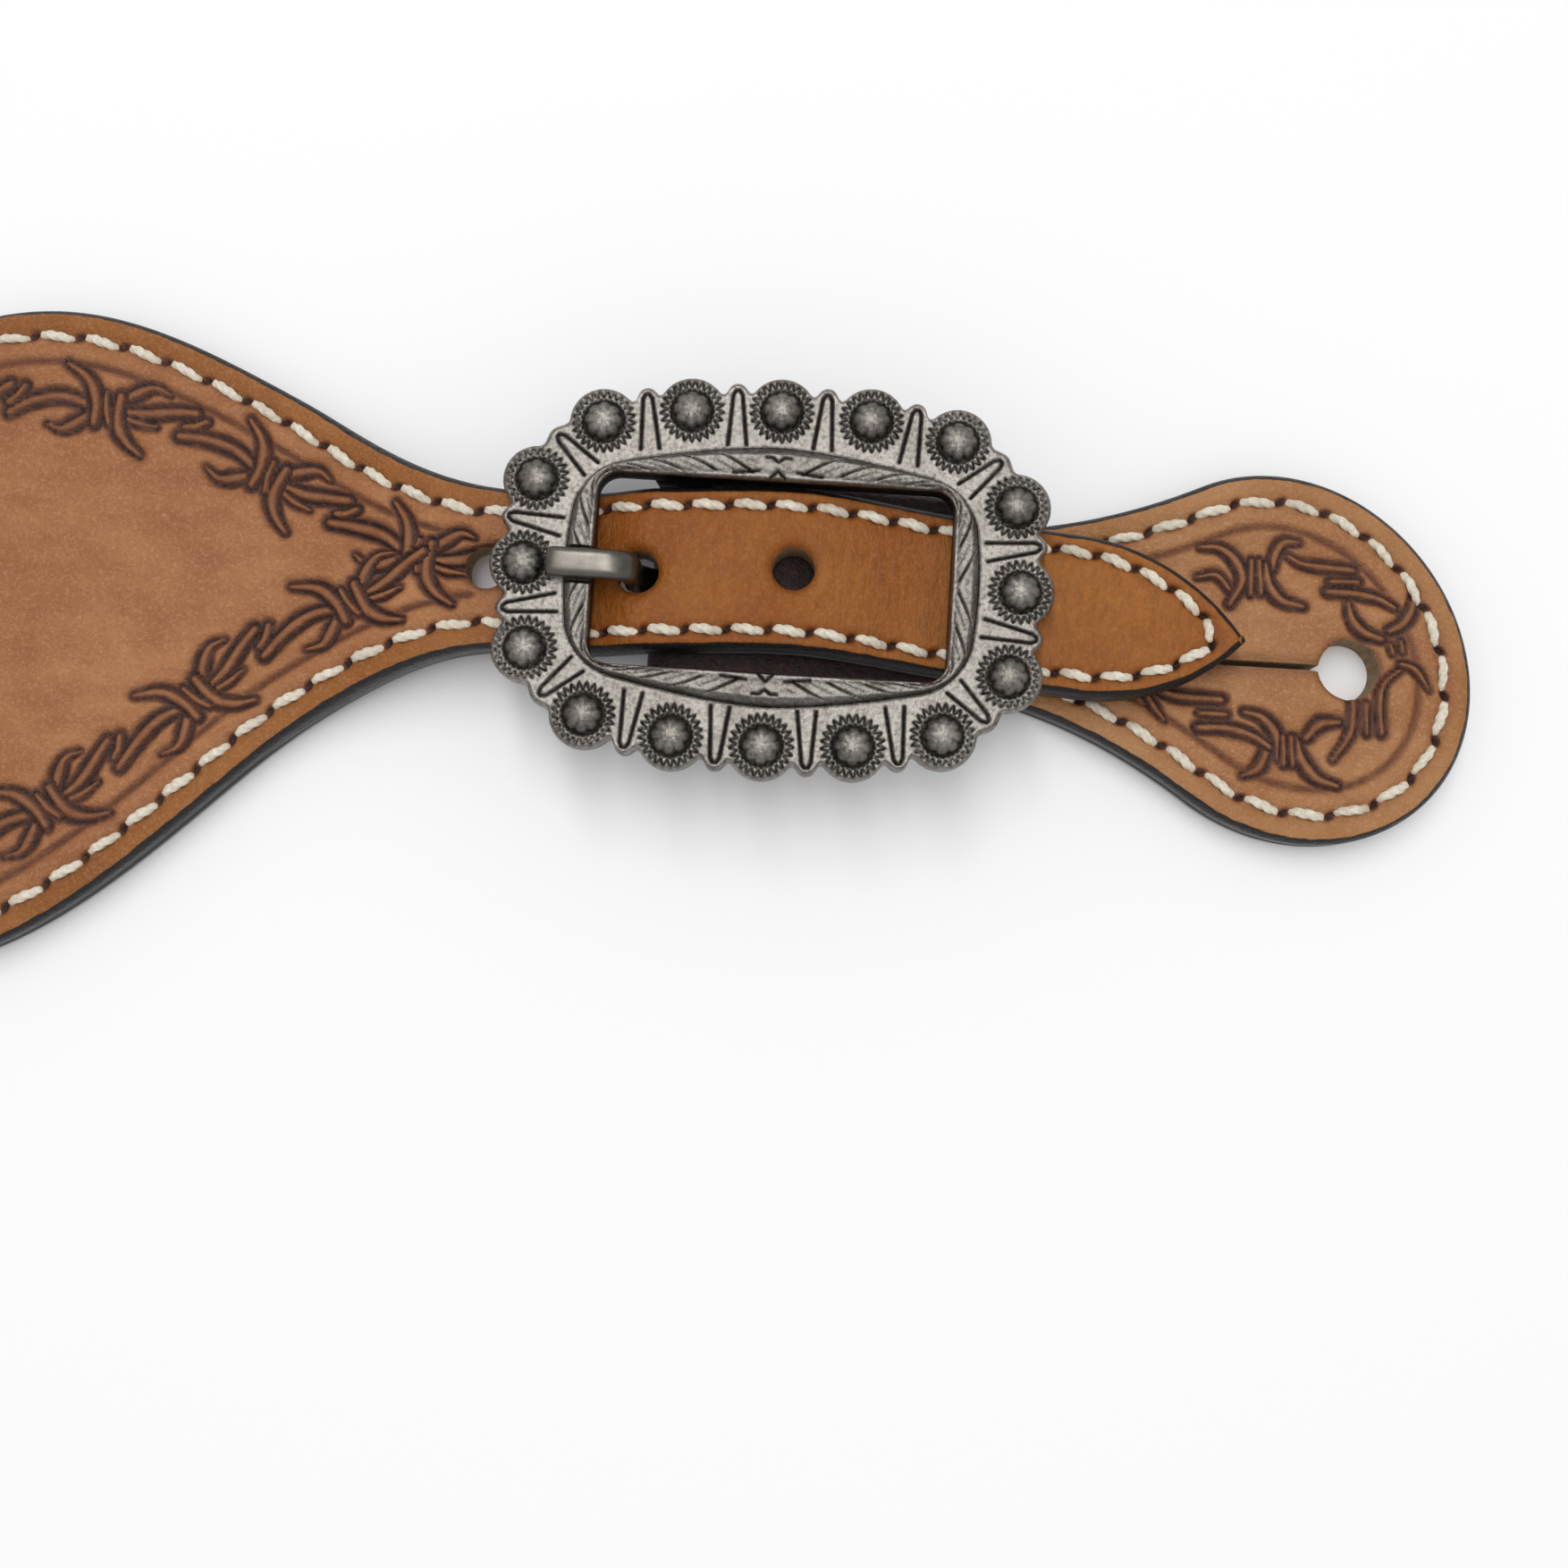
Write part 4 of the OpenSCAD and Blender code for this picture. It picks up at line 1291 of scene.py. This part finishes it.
def build_leather():
    tooled = tooled_leather("tooled_leather", "955D35", "AA7347", "854C26", "C49A72", "80480F", "9D6226")
    pale = tooled_leather("tab_leather", "9A6438", "B07D50", "8A552F", "CBA27C", "96622F", "AD7C50")
    plain, raw, lining = billet_leather(), raw_leather(), lining_leather()
    wing = dress(outer_panel("strap_body_leather", wing_xs, strap_half, strap_bow, strap_z, WING_ROWS, strap_relief), tooled, raw)
    billet = dress(outer_panel("billet_leather", billet_xs, strap_half, strap_bow, strap_z, BILLET_ROWS, strap_relief), plain, raw)
    wing_back = dress(lining_panel("strap_body_lining", wing_xs[::3], strap_half, strap_bow, strap_z), lining, raw)
    billet_back = dress(lining_panel("billet_lining_leather", billet_xs[::2], strap_half, strap_bow, strap_z), lining, raw)
    tab = dress(tab_outer_piece().build("tab_leather", tab_relief), pale, raw)
    tab_back_xs = np.concatenate([np.arange(6.5, 18, 1.0), tab_flat_xs[::2]])
    tab_back = dress(lining_panel("tab_lining_leather", tab_back_xs, lobe_half, bow, flat_zero), lining, raw)

    far_hole = (FAR_BUTTON_X, bow_at(FAR_BUTTON_X))
    tab_hole = (TAB_BUTTON_X, bow_at(TAB_BUTTON_X))
    for piece in (wing, wing_back):
        slit = block(far_hole[0], far_hole[0] + 13.5, far_hole[1] - SLIT_HALF, far_hole[1] + SLIT_HALF, -2, 20)
        cut(piece, [post(*far_hole, BUTTON_R), slit, post(HOLE_X - HOLE_PITCH, hole_y(HOLE_X - HOLE_PITCH), HOLE_R)])
    for piece in (billet, billet_back):
        cut(piece, [post(HOLE_X + i * HOLE_PITCH, hole_y(HOLE_X + i * HOLE_PITCH), HOLE_R) for i in (0, 1)])
    for piece in (tab, tab_back):
        slit = block(tab_hole[0] - 13.5, tab_hole[0], tab_hole[1] - SLIT_HALF, tab_hole[1] + SLIT_HALF, -2, 20)
        cut(piece, [post(*tab_hole, BUTTON_R), slit])
    cut(tab, [block(BAR_X - 5, BAR_X + 6, -2.0, 2.0, -2, 20)])
    return wing, wing_back, billet, billet_back, tab, tab_back


def top_of_strap(x):
    return strap_z(x) + STRAP_T - 0.2


def build_thread():
    thread = waxed_thread()
    left, right = (lambda p: p[0] < SPLIT_X), (lambda p: p[0] >= SPLIT_X)
    everywhere = lambda p: True
    pieces = [
        thread_piece("strap_body_stitches", strap_seam, top_of_strap, 1, left),
        thread_piece("billet_stitches", strap_seam, top_of_strap, 1, right),
        thread_piece("tab_stitches", tab_seam, lambda x: np.full_like(x, STRAP_T - 0.2), 1, everywhere),
    ]
    return [dress(p, thread) for p in pieces]


def build_buckle():
    pewter, steel = cast_pewter(), worn_steel()
    frame_piece = join([buckle_plate(), bar_lug(1), bar_lug(-1)], "buckle_frame_cast")
    dress(frame_piece, pewter)
    tongue = dress(tongue_piece(), steel)
    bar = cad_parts["buckle_bar"]
    bar.data.materials.clear()
    bar.data.materials.append(steel)
    return frame_piece, tongue


wing, wing_back, billet, billet_back, tab, tab_back = build_leather()
body_thread, billet_thread, tab_thread = build_thread()
frame_piece, tongue = build_buckle()

for piece in (wing, wing_back, body_thread):
    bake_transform(piece)
for piece in (billet, billet_back, billet_thread):
    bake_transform(piece)
for piece in (tab, tab_back, tab_thread):
    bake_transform(piece)
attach(frame_piece, "strap")
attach(tongue, "tongue")

for piece, slot, nodes in (
    (wing, "tooled_leather", ("wing_outer", "billet_outer")),
    (wing_back, "lining_leather", ("wing_lining", "billet_lining")),
    (body_thread, "thread", ("wing_thread",)),
    (billet, "tooled_leather", ("tip_outer",)),
    (billet_back, "lining_leather", ("tip_lining",)),
    (billet_thread, "thread", ("billet_thread", "tip_thread")),
    (tab, "tooled_leather", ("tab_outer", "lobe_outer")),
    (tab_back, "lining_leather", ("tab_lining", "lobe_lining")),
    (tab_thread, "thread", ("tab_thread", "lobe_thread")),
    (frame_piece, "cast_pewter", ("buckle_frame",)),
    (tongue, "steel", ("buckle_tongue",)),
):
    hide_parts(*nodes)


# ---------------------------------------------------------------- floor, light and camera
def studio():
    floor = new_mesh("studio_floor", [(-3000, -3000, 0), (3000, -3000, 0), (3000, 3000, 0), (-3000, 3000, 0)],
                     [(0, 1, 2, 3)], smooth=False)
    dress(floor, floor_paint())
    floor.location.z = -0.02 * MM
    world = bpy.data.worlds.new("studio")
    world.use_nodes = True
    world.node_tree.nodes["Background"].inputs["Color"].default_value = (1, 1, 1, 1)
    world.node_tree.nodes["Background"].inputs["Strength"].default_value = 0.6
    bpy.context.scene.world = world
    bpy.context.scene.view_settings.view_transform = "Standard"
    for name, place, wide, long, power in (("key", (-0.06, 0.24, 0.85), 0.16, 0.9, 3.4),
                                           ("top", (0.12, 0.0, 1.0), 0.8, 0.8, 1.3)):
        light = bpy.data.lights.new(name, "AREA")
        light.shape = "RECTANGLE"
        light.size, light.size_y, light.energy = wide, long, power
        obj = bpy.data.objects.new(name, light)
        obj.location = place
        obj.rotation_euler = (-Vector(place)).to_track_quat("-Z", "Y").to_euler()
        bpy.context.scene.collection.objects.link(obj)


def camera():
    """Almost straight above, close to the strap, tipped a little towards its lower side."""
    data = bpy.data.cameras.new("camera")
    data.sensor_width = 36
    data.lens = 40.1
    data.clip_start = 0.01
    obj = bpy.data.objects.new("camera", data)
    obj.location = (0.00338, -0.03539, 0.182)
    obj.rotation_euler = (math.radians(5.06), 0, math.radians(3.5))
    bpy.context.scene.collection.objects.link(obj)
    bpy.context.scene.camera = obj


studio()
camera()
